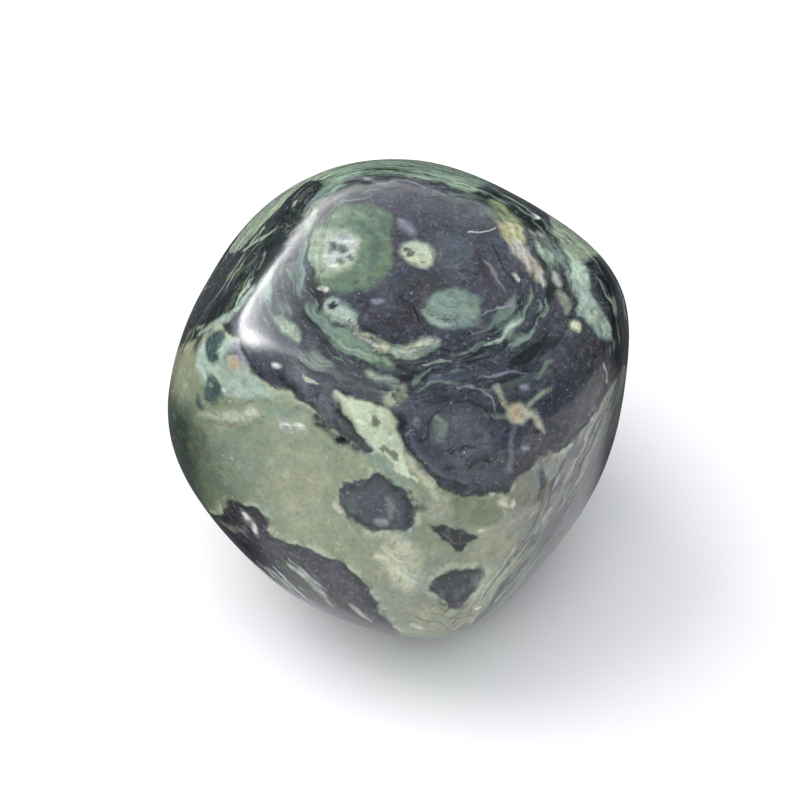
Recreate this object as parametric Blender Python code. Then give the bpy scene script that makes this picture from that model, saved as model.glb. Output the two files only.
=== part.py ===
"""A tumbled stone of kambaba jasper: one solid pebble with worn faces, resting on a small flat.

Metres, +Z up. Seen from the front, which is -Y, +X is to the right. The origin lies on the
surface that the stone rests on, at the middle of the stone's bounding box.
"""

import bmesh
import bpy
import numpy as np

MM = 0.001

# Each worn face: name, azimuth and elevation of its outward normal in degrees (azimuth 0 is +X
# and 90 is +Y), and its distance from the stone's middle in millimetres.
WORN_FACES = [
    ("swirl_face", -40, 76, 12.3),
    ("pale_face", -110, 18, 12.1),
    ("orb_face", -68, 25, 12.5),
    ("left_bevel", 162, 38, 13.2),
    ("left_side", 178, 2, 14.0),
    ("lower_left", -145, -21, 13.2),
    ("toe", -103, -40, 13.7),
    ("right_under", -40, -10, 12.9),
    ("right_side", -6, 1, 13.5),
    ("crown", 50, 41, 13.8),
    ("back_top", 104, 42, 14.2),
    ("back_left", 150, -4, 13.2),
    ("back_right", 35, -8, 12.8),
    ("back", 92, -14, 13.3),
    ("under_left", -165, -48, 12.6),
    ("under_right", -15, -50, 12.4),
    ("under_back", 85, -55, 12.9),
    ("resting_face", 0, -90, 11.2),
]
# How tightly neighbouring faces meet: 2 gives an egg, 20 a crystal with soft edges.
EDGE_TIGHTNESS = 9

# Shallow hollows that tumbling didn't reach: azimuth and elevation in degrees, depth in
# millimetres, and width as an angle in degrees seen from the stone's middle.
HOLLOWS = [
    (-20, 58, 0.22, 20),
    (118, 16, 0.35, 22),
    (8, -22, 0.28, 18),
    (-168, 12, 0.25, 17),
    (62, -30, 0.30, 20),
]

FLAT_DEPTH = 0.3 * MM  # how much the small resting flat takes off the lowest point
SPHERE_SUBDIVISIONS = 5

STONE_COLOUR = (0.115, 0.155, 0.118, 1.0)
STONE_ROUGHNESS = 0.16


def clear_scene():
    for obj in list(bpy.data.objects):
        bpy.data.objects.remove(obj, do_unlink=True)


def direction(azimuth, elevation):
    """Unit vector for an azimuth and an elevation in degrees."""
    a = np.radians(azimuth)
    e = np.radians(elevation)
    return np.array([np.cos(e) * np.cos(a), np.cos(e) * np.sin(a), np.sin(e)])


def worn_radius(rays):
    """Distance to the surface along each unit ray, in metres.

    A plane at distance d with normal n lies at d / (n . ray) along the ray. A power mean of all
    the planes gives their inner envelope, with every edge and corner rounded off.
    """
    total = np.zeros(len(rays))
    for _, azimuth, elevation, distance in WORN_FACES:
        towards = np.maximum(rays @ direction(azimuth, elevation), 0.0)
        total += (towards / (distance * MM)) ** EDGE_TIGHTNESS
    return total ** (-1.0 / EDGE_TIGHTNESS)


def hollow_depth(rays):
    """How far the hollows take the surface in along each unit ray: a bell curve of the angle."""
    depth = np.zeros(len(rays))
    for azimuth, elevation, deepest, width in HOLLOWS:
        angle = np.degrees(np.arccos(np.clip(rays @ direction(azimuth, elevation), -1.0, 1.0)))
        depth += deepest * MM * np.exp(-((angle / width) ** 2))
    return depth


def worn_sphere():
    """An icosphere with each vertex moved along its ray to the worn surface."""
    shape = bmesh.new()
    bmesh.ops.create_icosphere(shape, subdivisions=SPHERE_SUBDIVISIONS, radius=1.0)
    rays = np.array([vertex.co.normalized() for vertex in shape.verts])
    points = rays * (worn_radius(rays) - hollow_depth(rays))[:, None]
    for vertex, point in zip(shape.verts, points):
        vertex.co = point
    return shape


def cut_resting_flat(shape):
    """Takes the lowest FLAT_DEPTH off and closes the cut with one flat face."""
    lowest = min(vertex.co.z for vertex in shape.verts)
    cut = bmesh.ops.bisect_plane(
        shape,
        geom=shape.verts[:] + shape.edges[:] + shape.faces[:],
        plane_co=(0.0, 0.0, lowest + FLAT_DEPTH),
        plane_no=(0.0, 0.0, -1.0),
        clear_outer=True,
    )
    rim = [item for item in cut["geom_cut"] if isinstance(item, bmesh.types.BMEdge)]
    bmesh.ops.edgeloop_fill(shape, edges=rim)


def stand_on_origin(shape):
    """Moves the stone so that the middle of its box is over the origin and its flat is at z 0."""
    points = np.array([vertex.co for vertex in shape.verts])
    low = points.min(axis=0)
    high = points.max(axis=0)
    middle = (low + high) / 2
    bmesh.ops.translate(shape, verts=shape.verts, vec=(-middle[0], -middle[1], -low[2]))


def jasper_material():
    material = bpy.data.materials.new("polished_jasper")
    material.use_nodes = True
    surface = material.node_tree.nodes["Principled BSDF"]
    surface.inputs["Base Color"].default_value = STONE_COLOUR
    surface.inputs["Roughness"].default_value = STONE_ROUGHNESS
    surface.inputs["Metallic"].default_value = 0.0
    material.diffuse_color = STONE_COLOUR
    return material


def build_stone():
    shape = worn_sphere()
    cut_resting_flat(shape)
    stand_on_origin(shape)
    bmesh.ops.recalc_face_normals(shape, faces=shape.faces)
    mesh = bpy.data.meshes.new("tumbled_stone")
    shape.to_mesh(mesh)
    shape.free()
    mesh.shade_smooth()
    mesh.materials.append(jasper_material())
    return bpy.data.objects.new("tumbled_stone", mesh)


def main():
    clear_scene()
    collection = bpy.data.collections.new("kambaba_jasper_tumbled_stone")
    bpy.context.scene.collection.children.link(collection)
    collection.objects.link(build_stone())


main()
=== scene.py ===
import math

import bpy
import numpy as np
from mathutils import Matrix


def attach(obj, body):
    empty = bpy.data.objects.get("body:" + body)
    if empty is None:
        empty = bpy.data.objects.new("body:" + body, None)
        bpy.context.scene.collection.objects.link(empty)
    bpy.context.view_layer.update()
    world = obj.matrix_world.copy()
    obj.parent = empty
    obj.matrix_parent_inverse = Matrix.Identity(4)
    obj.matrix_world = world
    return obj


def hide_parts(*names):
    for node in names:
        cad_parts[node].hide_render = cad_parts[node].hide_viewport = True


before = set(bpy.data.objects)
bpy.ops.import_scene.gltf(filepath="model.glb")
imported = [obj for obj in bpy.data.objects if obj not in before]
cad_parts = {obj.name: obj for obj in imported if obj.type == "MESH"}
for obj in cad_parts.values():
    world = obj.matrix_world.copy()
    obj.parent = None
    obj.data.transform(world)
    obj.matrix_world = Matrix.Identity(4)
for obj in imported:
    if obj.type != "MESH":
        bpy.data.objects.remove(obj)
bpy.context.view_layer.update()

metresPerMm = 0.001
farAway = 9.0  # mm, the distance that is kept where no mark is near

# The pebble's shape. A worn face is (azimuth, elevation, distance): degrees, with azimuth 0 at +X
# and 90 at +Y, then millimetres from the stone's middle. A hollow is (azimuth, elevation, depth in
# mm, width as an angle in degrees).
stoneShape = {
    "wornFaces": [
        (-40, 76, 12.3), (-110, 18, 12.1), (-68, 25, 12.5), (162, 38, 13.2), (178, 2, 14.0),
        (-145, -21, 13.2), (-103, -40, 13.7), (-40, -10, 12.9), (-6, 1, 13.5), (50, 41, 13.8),
        (104, 42, 14.2), (150, -4, 13.2), (35, -8, 12.8), (92, -14, 13.3), (-165, -48, 12.6),
        (-15, -50, 12.4), (85, -55, 12.9), (0, -90, 11.2),
    ],
    "edgeTightness": 9,
    "hollows": [
        (-20, 58, 0.22, 20), (118, 16, 0.35, 22), (8, -22, 0.28, 18),
        (-168, 12, 0.25, 17), (62, -30, 0.30, 20),
    ],
    "flatDepth": 0.3,   # mm that the resting flat takes off
    "flatRim": 0.12,    # mm of height over which its rim is eased
    "gridSteps": 128,
}

# What tumbling left in the surface, all of it sunk inwards, in mm.
surfaceWear = {
    "swellDepth": 0.07, "swellLength": 6.5,
    "rippleDepth": 0.012, "rippleLength": 1.7,
    "pitCount": 170, "pitRadius": (0.12, 0.42), "pitDepth": (0.015, 0.06),
    "pitNear": 0.99,    # cosine of the angle within which a pit is worked out
    "seed": 23,
}


def towards(azimuth, elevation):
    a = np.radians(np.asarray(azimuth, dtype=float))
    e = np.radians(np.asarray(elevation, dtype=float))
    return np.stack([np.cos(e) * np.cos(a), np.cos(e) * np.sin(a), np.sin(e)], axis=-1)


def unit(vectors):
    return vectors / np.linalg.norm(vectors, axis=-1, keepdims=True)


# Distance from the stone's middle to its surface along unit rays: a power mean of the planes'
# own distances d / (n . ray), less a bell curve of the angle for each hollow.
def wornRadius(rays):
    faces = np.array(stoneShape["wornFaces"], dtype=float)
    power = stoneShape["edgeTightness"]
    facing = np.maximum(rays @ towards(faces[:, 0], faces[:, 1]).T, 0.0)
    radius = np.sum((facing / faces[:, 2]) ** power, axis=-1) ** (-1.0 / power)
    for azimuth, elevation, depth, width in stoneShape["hollows"]:
        angle = np.degrees(np.arccos(np.clip(rays @ towards(azimuth, elevation), -1.0, 1.0)))
        radius = radius - depth * np.exp(-((angle / width) ** 2))
    return radius


# Quads of a grid of points laid row by row. In a closed grid the last row meets the first.
def gridQuads(rows, columns, closed=False):
    corner = np.arange(rows if closed else rows - 1)[:, None] * columns + np.arange(columns - 1)
    beyond = (corner + columns) % (rows * columns)
    return np.stack([corner, beyond, beyond + 1, corner + 1], axis=-1).reshape(-1, 4)


# Six square patches in s and t from -1 to 1, each point normal + tan(45 s) along + tan(45 t)
# across, made a unit ray. Points that neighbouring patches share are welded into one.
def sphereGrid(steps):
    spread = np.tan(np.linspace(-1.0, 1.0, steps + 1) * math.pi / 4)
    s, t = np.meshgrid(spread, spread, indexing="ij")
    square = gridQuads(steps + 1, steps + 1)
    rays = []
    quads = []
    for axis in range(3):
        for side in (1.0, -1.0):
            normal = np.roll([side, 0.0, 0.0], axis)
            along = np.roll([0.0, 1.0, 0.0], axis)
            across = np.cross(normal, along)
            patch = normal + s[..., None] * along + t[..., None] * across
            quads.append(square + len(rays) * (steps + 1) ** 2)
            rays.append(unit(patch).reshape(-1, 3))
    rays = np.concatenate(rays)
    quads = np.concatenate(quads)
    _, first, place = np.unique(np.round(rays, 6), axis=0, return_index=True, return_inverse=True)
    return rays[first], place.reshape(-1)[quads]


# A smooth random field: the sum of plane waves in random directions, near -1 to 1.
def ripples(points, length, seed, waves=14):
    draw = np.random.default_rng(seed)
    directions = unit(draw.normal(size=(waves, 3)))
    lengths = length * draw.uniform(0.7, 1.4, waves)
    phases = draw.uniform(0.0, 2 * math.pi, waves)
    turns = points @ (directions * (2 * math.pi / lengths)[:, None]).T + phases
    return np.sin(turns).sum(axis=1) / math.sqrt(waves)


# Depth of the wear: swells and ripples from the random field, pits as squared bell curves.
def wearDepth(rays, points):
    wear = surfaceWear
    depth = np.zeros(len(rays))
    for k, kind in enumerate(("swell", "ripple")):
        field = ripples(points, wear[kind + "Length"], wear["seed"] + k)
        depth += wear[kind + "Depth"] * (0.5 + 0.5 * np.tanh(field))
    draw = np.random.default_rng(wear["seed"] + 2)
    for centre in unit(draw.normal(size=(wear["pitCount"], 3))):
        pitRadius = draw.uniform(*wear["pitRadius"])
        pitDepth = draw.uniform(*wear["pitDepth"])
        near = np.flatnonzero(rays @ centre > wear["pitNear"])
        away = np.linalg.norm(points[near] - centre * wornRadius(centre[None])[0], axis=1)
        depth[near] += pitDepth * np.exp(-((away / pitRadius) ** 2) * 2)
    return depth


# The photograph's camera, against the stone's middle: focal length, picture point and picture
# size in the photograph's own pixels, distances in mm, elevation in degrees.
photoView = {
    "focal": 1197.0, "middle": (470.0, 581.0), "size": 794,
    "distance": 167.0, "elevation": 47.0, "zoom": 2.41,
    "searched": (147.0, 177.0), "searchSteps": 601,     # where a line of sight may meet the stone
    "sensorWidth": 36.0, "clipStart": 0.01,             # mm, metres
}
tilt = math.radians(photoView["elevation"])
viewRight = np.array([1.0, 0.0, 0.0])
viewUp = np.array([0.0, math.sin(tilt), math.cos(tilt)])
viewBack = np.array([0.0, -math.cos(tilt), math.sin(tilt)])
mmPerPixel = photoView["distance"] / photoView["focal"]


# Where the photograph's pixels fall on the stone, as unit rays from its middle: each line of
# sight is stepped until it is inside the surface, then cut back to the crossing.
def seenAt(pixels):
    pixels = np.asarray(pixels, dtype=float).reshape(-1, 2)
    across = (pixels[:, 0] - photoView["middle"][0]) / photoView["focal"]
    upwards = (photoView["middle"][1] - pixels[:, 1]) / photoView["focal"]
    sight = unit(across[:, None] * viewRight + upwards[:, None] * viewUp - viewBack)
    reach = np.linspace(*photoView["searched"], photoView["searchSteps"])
    points = viewBack * photoView["distance"] + sight[:, None, :] * reach[None, :, None]
    radius = np.linalg.norm(points, axis=2)
    gap = radius - wornRadius(points / radius[..., None])
    crossed = gap < 0
    hit = np.where(crossed.any(axis=1), crossed.argmax(axis=1), gap.argmin(axis=1))
    rows = np.arange(len(pixels))
    before = np.maximum(hit - 1, 0)
    share = np.clip(gap[rows, before] / np.maximum(gap[rows, before] - gap[rows, hit], 1e-9), 0.0, 1.0)
    share = np.where(crossed.any(axis=1), share, 1.0)
    return unit(points[rows, before] + (points[rows, hit] - points[rows, before]) * share[:, None])


# A Catmull-Rom curve through rays, made unit again: closed round an area, open along the others.
# Each kind of mark has its own number of points for each span.
curvePoints = {"area": 4, "line": 5, "thread": 6}


def smoothRays(rays, kind):
    closed, perSpan = kind == "area", curvePoints[kind]
    if closed:
        padded = np.concatenate([rays[-1:], rays, rays[:2]])
    else:
        padded = np.concatenate([2 * rays[:1] - rays[1:2], rays, 2 * rays[-1:] - rays[-2:-1]])
    spans = len(padded) - 3
    a, b, c, d = (padded[k:k + spans, None, :] for k in range(4))
    t = (np.arange(perSpan) / perSpan)[None, :, None]
    bend = (2 * a - 5 * b + 4 * c - d) * t ** 2
    curve = 0.5 * (2 * b + (c - a) * t + bend + (3 * b - a - 3 * c + d) * t ** 3)
    curve = curve.reshape(-1, 3)
    if not closed:
        curve = np.concatenate([curve, rays[-1:]])
    return unit(curve)


# Marks are only measured to the rays near them: within this angle in radians of an area, and
# within this much less than the least cosine of a path's points. layAxis is any axis that no
# mark's middle lies on.
measured = {"area": 0.2, "widestArea": 3.1, "line": 0.2, "thread": 0.12}
layAxis = (0.31, 0.17, 0.94)


# Signed distance in mm to a closed outline, less than 0 inside it. Rays are laid flat round the
# outline's middle, at a distance equal to their angle from it.
def areaDistance(rays, outline):
    middle = unit(outline.mean(axis=0))
    east = unit(np.cross(layAxis, middle))
    north = np.cross(middle, east)
    scale = float(wornRadius(middle[None])[0])

    def laidFlat(some):
        angle = np.arccos(np.clip(some @ middle, -1.0, 1.0))
        plane = np.stack([some @ east, some @ north], axis=1)
        return plane * (scale * angle / np.maximum(np.linalg.norm(plane, axis=1), 1e-9))[:, None]

    widest = np.arccos(np.clip(outline @ middle, -1.0, 1.0)).max()
    near = np.flatnonzero(rays @ middle > math.cos(min(widest + measured["area"], measured["widestArea"])))
    points = laidFlat(rays[near])
    corners = laidFlat(outline)
    nearest = np.full(len(near), np.inf)
    inside = np.zeros(len(near), dtype=bool)
    for start, end in zip(corners, np.roll(corners, -1, axis=0)):
        edge = end - start
        rel = points - start
        along = np.clip(rel @ edge / max(edge @ edge, 1e-9), 0.0, 1.0)
        gap = rel - along[:, None] * edge
        nearest = np.minimum(nearest, np.einsum("ij,ij->i", gap, gap))
        rising = (start[1] > points[:, 1]) != (end[1] > points[:, 1])
        height = end[1] - start[1] if abs(end[1] - start[1]) > 1e-12 else 1e-12
        inside ^= rising & (rel[:, 0] < edge[0] * rel[:, 1] / height)
    distance = np.full(len(rays), farAway)
    distance[near] = np.sqrt(nearest) * np.where(inside, -1.0, 1.0)
    return distance


# A path's points on the surface in mm, and its half width at each.
def pathStops(path, halfWidth):
    stops = path * wornRadius(path)[:, None]
    return stops, np.interp(np.linspace(0, 1, len(stops)), np.linspace(0, 1, len(halfWidth)), halfWidth)


# Distance in mm to a path over the surface, less its half width, which tapers to the ends.
def lineDistance(rays, points, path, halfWidth):
    stops, widths = pathStops(path, halfWidth)
    distance = np.full(len(rays), farAway)
    middle = unit(path.mean(axis=0))
    near = np.flatnonzero(rays @ middle > (path @ middle).min() - measured["line"])
    some = points[near]
    best = np.full(len(near), farAway)
    for k in range(len(stops) - 1):
        edge = stops[k + 1] - stops[k]
        rel = some - stops[k]
        along = np.clip(rel @ edge / max(edge @ edge, 1e-9), 0.0, 1.0)
        gap = np.linalg.norm(rel - along[:, None] * edge, axis=1)
        best = np.minimum(best, gap - (widths[k] + (widths[k + 1] - widths[k]) * along))
    distance[near] = best
    return distance


# Signed distance in mm to a path over the surface, with its sign for the side, and the path's
# half width there, which runs out past its ends.
def besidePath(rays, points, path, halfWidth, everywhere=False):
    stops, widths = pathStops(path, halfWidth)
    middle = unit(path.mean(axis=0))
    least = -np.inf if everywhere else (path @ middle).min() - measured["thread"]
    near = np.flatnonzero(rays @ middle > least)
    some, outwards = points[near], rays[near]
    best = np.full(len(near), np.inf)
    beside = np.full(len(near), farAway)
    width = np.full(len(near), -1.0)
    for k in range(len(stops) - 1):
        edge = stops[k + 1] - stops[k]
        length = max(float(np.linalg.norm(edge)), 1e-9)
        rel = some - stops[k]
        share = rel @ edge / length ** 2
        along = np.clip(share, 0.0, 1.0)
        gap = rel - along[:, None] * edge
        away = np.linalg.norm(gap, axis=1)
        side = np.where(np.einsum("ij,ij->i", np.cross(edge, gap), outwards) < 0, -1.0, 1.0)
        past = np.maximum(-share if k == 0 else 0.0, share - 1 if k == len(stops) - 2 else 0.0)
        nearer = away < best
        best[nearer] = away[nearer]
        beside[nearer] = (away * side)[nearer]
        here = widths[k] + (widths[k + 1] - widths[k]) * along - np.maximum(past, 0.0) * length
        width[nearer] = here[nearer]
    besideAll = np.full(len(rays), farAway)
    widthAll = np.full(len(rays), -1.0)
    besideAll[near] = beside
    widthAll[near] = width
    return besideAll, widthAll


# The stone's colours, as 0 to 255 red, green and blue.
stoneColours = {
    "sage": (138, 149, 121), "deepSage": (112, 127, 108), "straw": (152, 154, 128), "ash": (148, 152, 131),
    "dusk": (84, 96, 78), "slate": (52, 58, 67), "plum": (46, 43, 51), "mauve": (72, 70, 82),
    "steel": (66, 76, 84), "ink": (10, 18, 20), "pitch": (20, 30, 29), "umber": (56, 50, 46),
    "fern": (116, 137, 120), "moss": (107, 119, 90), "reed": (111, 115, 99), "jade": (114, 134, 124),
    "mint": (152, 170, 157), "lichen": (150, 166, 144), "lime": (186, 198, 174), "cream": (188, 190, 168),
    "beige": (160, 156, 146), "wheat": (160, 160, 124), "lilac": (132, 134, 150), "fog": (112, 114, 122),
    "tan": (182, 158, 132), "rust": (120, 99, 66), "bark": (92, 84, 62), "chalk": (212, 217, 210),
    "thread": (98, 116, 108), "teal": (58, 76, 75), "olive": (72, 80, 60), "pewter": (122, 124, 121),
    "pearl": (172, 174, 170), "leaf": (95, 117, 97), "smoke": (74, 74, 80), "bottle": (34, 46, 41),
    "haze": (84, 92, 102),
}


def linearColour(name):
    share = np.array(stoneColours[name], dtype=float) / 255
    return np.where(share <= 0.04045, share / 12.92, ((share + 0.055) / 1.055) ** 2.4)


# Marks in the stone, and among them some painted light: painted shade, painted reflections and painted highlights.
# Points with seen are pixels of the photograph, and points with around are (azimuth, elevation) on the stone, and a
# mark may have both. Widths and radii are in pixels for seen marks and in mm for the others. soft is how many times
# wider than usual the edge fades, and cover is how much the mark hides of what is under it. A line of one width tapers
# by these shares.
lineTaper = (0.5, 1.0, 1.0, 0.4)


def area(colour, seen=(), around=(), soft=1.0, cover=1.0):
    return {"kind": "area", "colour": colour, "seen": seen, "around": around, "soft": soft, "cover": cover}


def line(colour, halfWidth, seen=(), around=(), soft=1.0, cover=1.0):
    halfWidth = halfWidth if isinstance(halfWidth, tuple) else tuple(halfWidth * share for share in lineTaper)
    return {"kind": "line", "colour": colour, "halfWidth": halfWidth, "seen": seen, "around": around,
            "soft": soft, "cover": cover}


def thread(colour, halfWidth, seen=(), around=(), soft=1.0, cover=0.85):
    return {**line(colour, halfWidth, seen, around, soft, cover), "kind": "thread"}


def dot(colour, radius, seen=(), around=(), soft=1.0, cover=1.0):
    return line(colour, (radius, radius), seen, around, soft, cover)


# Soft tints of the green rock: (colour, azimuth, elevation, width in degrees).
greenTints = [
    ("sage", -118, 22, 22), ("deepSage", -140, 12, 18), ("dusk", -160, 2, 18), ("straw", -170, 26, 12),
    ("sage", -108, 4, 16), ("ash", -84, -4, 18), ("sage", -98, -16, 14), ("pewter", -40, 4, 16),
    ("deepSage", -82, 11, 9), ("pewter", -28, 8, 18), ("deepSage", 4, -20, 34), ("sage", 60, -30, 36),
    ("deepSage", 120, -20, 36), ("ash", 170, -40, 36), ("deepSage", -100, -70, 40), ("straw", 90, 30, 26),
    ("sage", 30, 10, 24), ("moss", 140, -46, 24), ("ash", 40, -60, 26),
]

darkRock = [
    area("slate", seen=[
        (376, 557), (384, 553), (394, 550), (401, 555), (404, 562), (407, 570), (414, 574), (424, 578),
        (431, 584), (440, 591), (450, 600), (458, 604), (460, 601), (455, 596), (450, 589), (446, 582),
        (452, 582), (460, 584), (466, 585), (469, 590), (471, 597), (475, 604), (480, 610), (486, 615),
        (492, 619), (498, 621), (505, 621), (511, 620), (516, 622), (519, 615), (524, 612), (528, 607),
        (532, 603), (537, 604), (542, 601), (548, 595), (553, 587), (558, 578), (563, 570), (568, 562)],
        around=[(8, 24), (24, 18), (48, 22), (72, 28), (100, 24), (128, 20), (150, 14), (170, 14)]),
    area("slate", seen=[
        (447, 618), (451, 617), (457, 616), (461, 613), (466, 615), (471, 618), (475, 622), (477, 627),
        (477, 632), (474, 636), (468, 637), (462, 637), (456, 636), (451, 632), (448, 627), (446, 622)]),
    area("slate", seen=[
        (484, 660), (488, 656), (493, 653), (500, 652), (506, 653), (506, 656), (503, 661), (499, 666),
        (494, 669), (489, 666), (486, 663)]),
    area("plum", seen=[
        (384, 626), (391, 628), (397, 630), (399, 626), (404, 625), (411, 627), (416, 632), (417, 638),
        (422, 641), (430, 643), (438, 646), (446, 649), (452, 653), (457, 659), (460, 665), (463, 670),
        (467, 675), (472, 680)],
        around=[(-96, -40), (-112, -52), (-135, -50), (-152, -38), (-158, -22)]),
    area("slate", around=[
        (30, -22), (48, -10), (70, -2), (92, 2), (112, -4), (128, -16), (118, -28), (96, -24), (76, -16),
        (58, -24), (44, -38), (26, -44), (10, -38), (14, -28)]),
    area("plum", around=[(150, -24), (166, -14), (180, -16), (186, -28), (174, -40), (156, -38)]),
    area("slate", around=[(-8, -8), (4, 0), (14, -6), (12, -16), (0, -20), (-10, -16)]),
    area("plum", around=[(-40, -34), (-20, -30), (0, -44), (-14, -62), (-44, -62), (-60, -46)]),
    area("slate", around=[(100, -50), (124, -46), (146, -54), (140, -68), (112, -70), (92, -62)]),
]

# Broad changes inside the dark and the green rock, all of them soft. Some are painted light: painted shade along both
# limbs and the toe, and painted reflections of the floor and the soft light.
broadStainsAndPaintedLight = [
    # painted reflection: a paler lavender veil on the dark rock, the soft light seen in the polish
    area("fog", soft=5, cover=0.75, seen=[
        (424, 566), (433, 570), (444, 582), (452, 592), (446, 592), (436, 584), (426, 575)]),
    area("haze", soft=5, cover=0.6, seen=[(485, 514), (494, 512), (501, 517), (502, 526), (495, 530), (487, 525)]),
    area("mauve", soft=4, cover=0.7, seen=[(502, 520), (510, 524), (516, 532), (514, 541), (507, 540), (502, 530)]),
    area("plum", soft=3, cover=0.8, seen=[(470, 539), (478, 540), (482, 546), (482, 555), (475, 555), (468, 549)]),
    area("umber", soft=4, cover=0.6, seen=[(471, 532), (479, 531), (487, 534), (481, 538), (473, 537)]),
    area("fog", soft=6, cover=0.5, seen=[
        (486, 589), (497, 586), (508, 591), (512, 601), (507, 611), (498, 613), (488, 606), (483, 597)]),
    # painted reflection: a grey brown patch on the right side, the floor seen in the polish
    area("umber", soft=4, cover=0.65, seen=[
        (546, 555), (555, 558), (562, 566), (559, 580), (551, 594), (544, 596), (548, 580), (548, 566)]),
    area("plum", soft=4, cover=0.8, seen=[(526, 592), (534, 586), (544, 586), (544, 597), (536, 604), (527, 604)]),
    area("pitch", soft=4, cover=0.8, seen=[
        (549, 521), (557, 527), (562, 537), (567, 550), (568, 566), (562, 570), (558, 560), (556, 545), (551, 533)]),
    area("haze", soft=6, cover=0.35, seen=[
        (440, 494), (460, 491), (486, 492), (504, 499), (508, 508), (484, 506), (456, 498)]),
    # painted shade: darker green along the lower left limb
    area("dusk", soft=7, cover=0.65, seen=[(378, 590), (390, 594), (396, 608), (402, 622), (392, 626), (382, 612)]),
    area("straw", soft=7, cover=0.4, seen=[(414, 604), (430, 600), (442, 608), (440, 626), (428, 636), (416, 624)]),
    area("deepSage", soft=6, cover=0.6, seen=[(394, 596), (408, 594), (418, 600), (414, 614), (402, 612)]),
    # painted reflection: a grey veil down the lower right side, the floor seen in the polish
    area("pewter", soft=6, cover=0.5, seen=[
        (546, 588), (556, 576), (564, 572), (562, 590), (552, 618), (536, 646), (514, 668), (498, 680),
        (500, 668), (512, 648), (522, 628), (532, 608)]),
    area("pitch", soft=5, cover=0.6, seen=[(484, 660), (493, 653), (506, 652), (503, 661), (494, 669)]),
    # the toe's real dark band, deepened further as painted shade
    area("pitch", soft=5, cover=0.65, seen=[
        (416, 640), (432, 645), (448, 651), (460, 664), (466, 678), (448, 668), (430, 656)]),
    area("pewter", soft=6, cover=0.4, seen=[
        (464, 662), (480, 658), (494, 672), (490, 682), (474, 684), (466, 674)]),
    # painted shade: near black and dark green along the left limb
    area("ink", soft=9, cover=0.7, seen=[
        (358, 572), (371, 578), (379, 592), (381, 608), (384, 624), (374, 632), (362, 600)]),
    area("bottle", soft=11, cover=0.9, seen=[
        (360, 566), (374, 572), (383, 588), (386, 606), (390, 626), (378, 632), (366, 600)]),
    # painted shade: grey darkening along the right limb
    area("smoke", soft=8, cover=0.8, seen=[
        (570, 572), (563, 580), (557, 594), (550, 610), (538, 634), (525, 654), (508, 678), (536, 668), (562, 624)]),
    # the toe's real dark band, deepened further as painted shade
    area("plum", soft=5, cover=0.6, seen=[
        (388, 634), (400, 640), (416, 652), (432, 664), (446, 676), (424, 672), (400, 656)]),
    area("ash", soft=6, cover=0.6, seen=[
        (506, 634), (518, 630), (528, 626), (530, 636), (520, 650), (508, 664), (500, 676), (482, 676),
        (486, 670), (500, 666)]),
]

darkEdges = [
    area("pitch", soft=1.6, seen=[
        (448, 486), (440, 497), (429, 511), (419, 525), (410, 538), (402, 547), (393, 552), (384, 558), (376, 560)],
        around=[(178, 14), (164, 14), (150, 18), (136, 22), (124, 28), (114, 36)]),
    line("ink", (0.9, 1.9, 2.3, 1.2), soft=1.6, seen=[(430, 585), (437, 591), (445, 597), (452, 602), (458, 604)]),
    line("ink", (0.5, 1.6, 2.4, 2.6, 1.8), soft=1.6, seen=[
        (471, 595), (474, 602), (479, 608), (485, 613), (491, 617), (498, 620), (505, 620)]),
    line("ink", 2.3, soft=1.6, seen=[(461, 613), (467, 616), (472, 620), (476, 625), (477, 630)]),
    line("pitch", 1.3, soft=1.6, cover=0.8, seen=[(447, 620), (449, 627), (454, 634), (462, 637)]),
    area("ink", soft=1.5, seen=[(518, 606), (522, 604), (527, 605), (527, 609), (523, 613), (519, 611)]),
    line("ink", 2.2, soft=1.5, seen=[(510, 618), (514, 620), (518, 622)]),
    area("pitch", soft=2, cover=0.8, seen=[(530, 596), (535, 591), (541, 592), (543, 597), (538, 603), (532, 602)]),
    line("plum", 2.3, soft=2, cover=0.7, seen=[(503, 513), (505, 527), (510, 537), (514, 543)]),
    area("pitch", soft=1.8, seen=[
        (512, 496), (524, 500), (532, 508), (536, 516), (541, 524), (544, 531), (542, 540), (538, 544),
        (533, 538), (531, 529), (526, 517), (520, 507)]),
    line("umber", 1.3, soft=2, cover=0.8, seen=[(484, 490), (490, 492), (496, 496)]),
    area("ink", soft=1.2, seen=[
        (482, 634), (487, 635), (490, 633), (493, 636), (498, 637), (503, 638), (504, 640), (500, 642),
        (497, 646), (492, 643), (487, 639)]),
    line("plum", 2.6, soft=2, seen=[(455, 541), (461, 546), (468, 551)]),
    line("pitch", 1.6, soft=1.8, cover=0.8, seen=[(438, 534), (441, 541), (447, 549), (455, 553)]),
    line("pitch", 1.4, soft=1.6, seen=[(530, 611), (531, 618), (529, 624)]),
    line("pitch", 1.6, soft=2, cover=0.7, seen=[(388, 626), (396, 633), (404, 641), (412, 650), (424, 660)]),
    area("plum", soft=2, cover=0.8, seen=[
        (432, 646), (440, 647), (448, 651), (455, 658), (458, 666), (452, 667), (444, 662), (436, 655)]),
    line("pitch", 1.6, soft=2, cover=0.7, seen=[(486, 664), (490, 668), (496, 669)]),
    line("bottle", 1.7, soft=2, cover=0.8, seen=[(404, 578), (410, 580), (416, 582)]),
]

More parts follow.
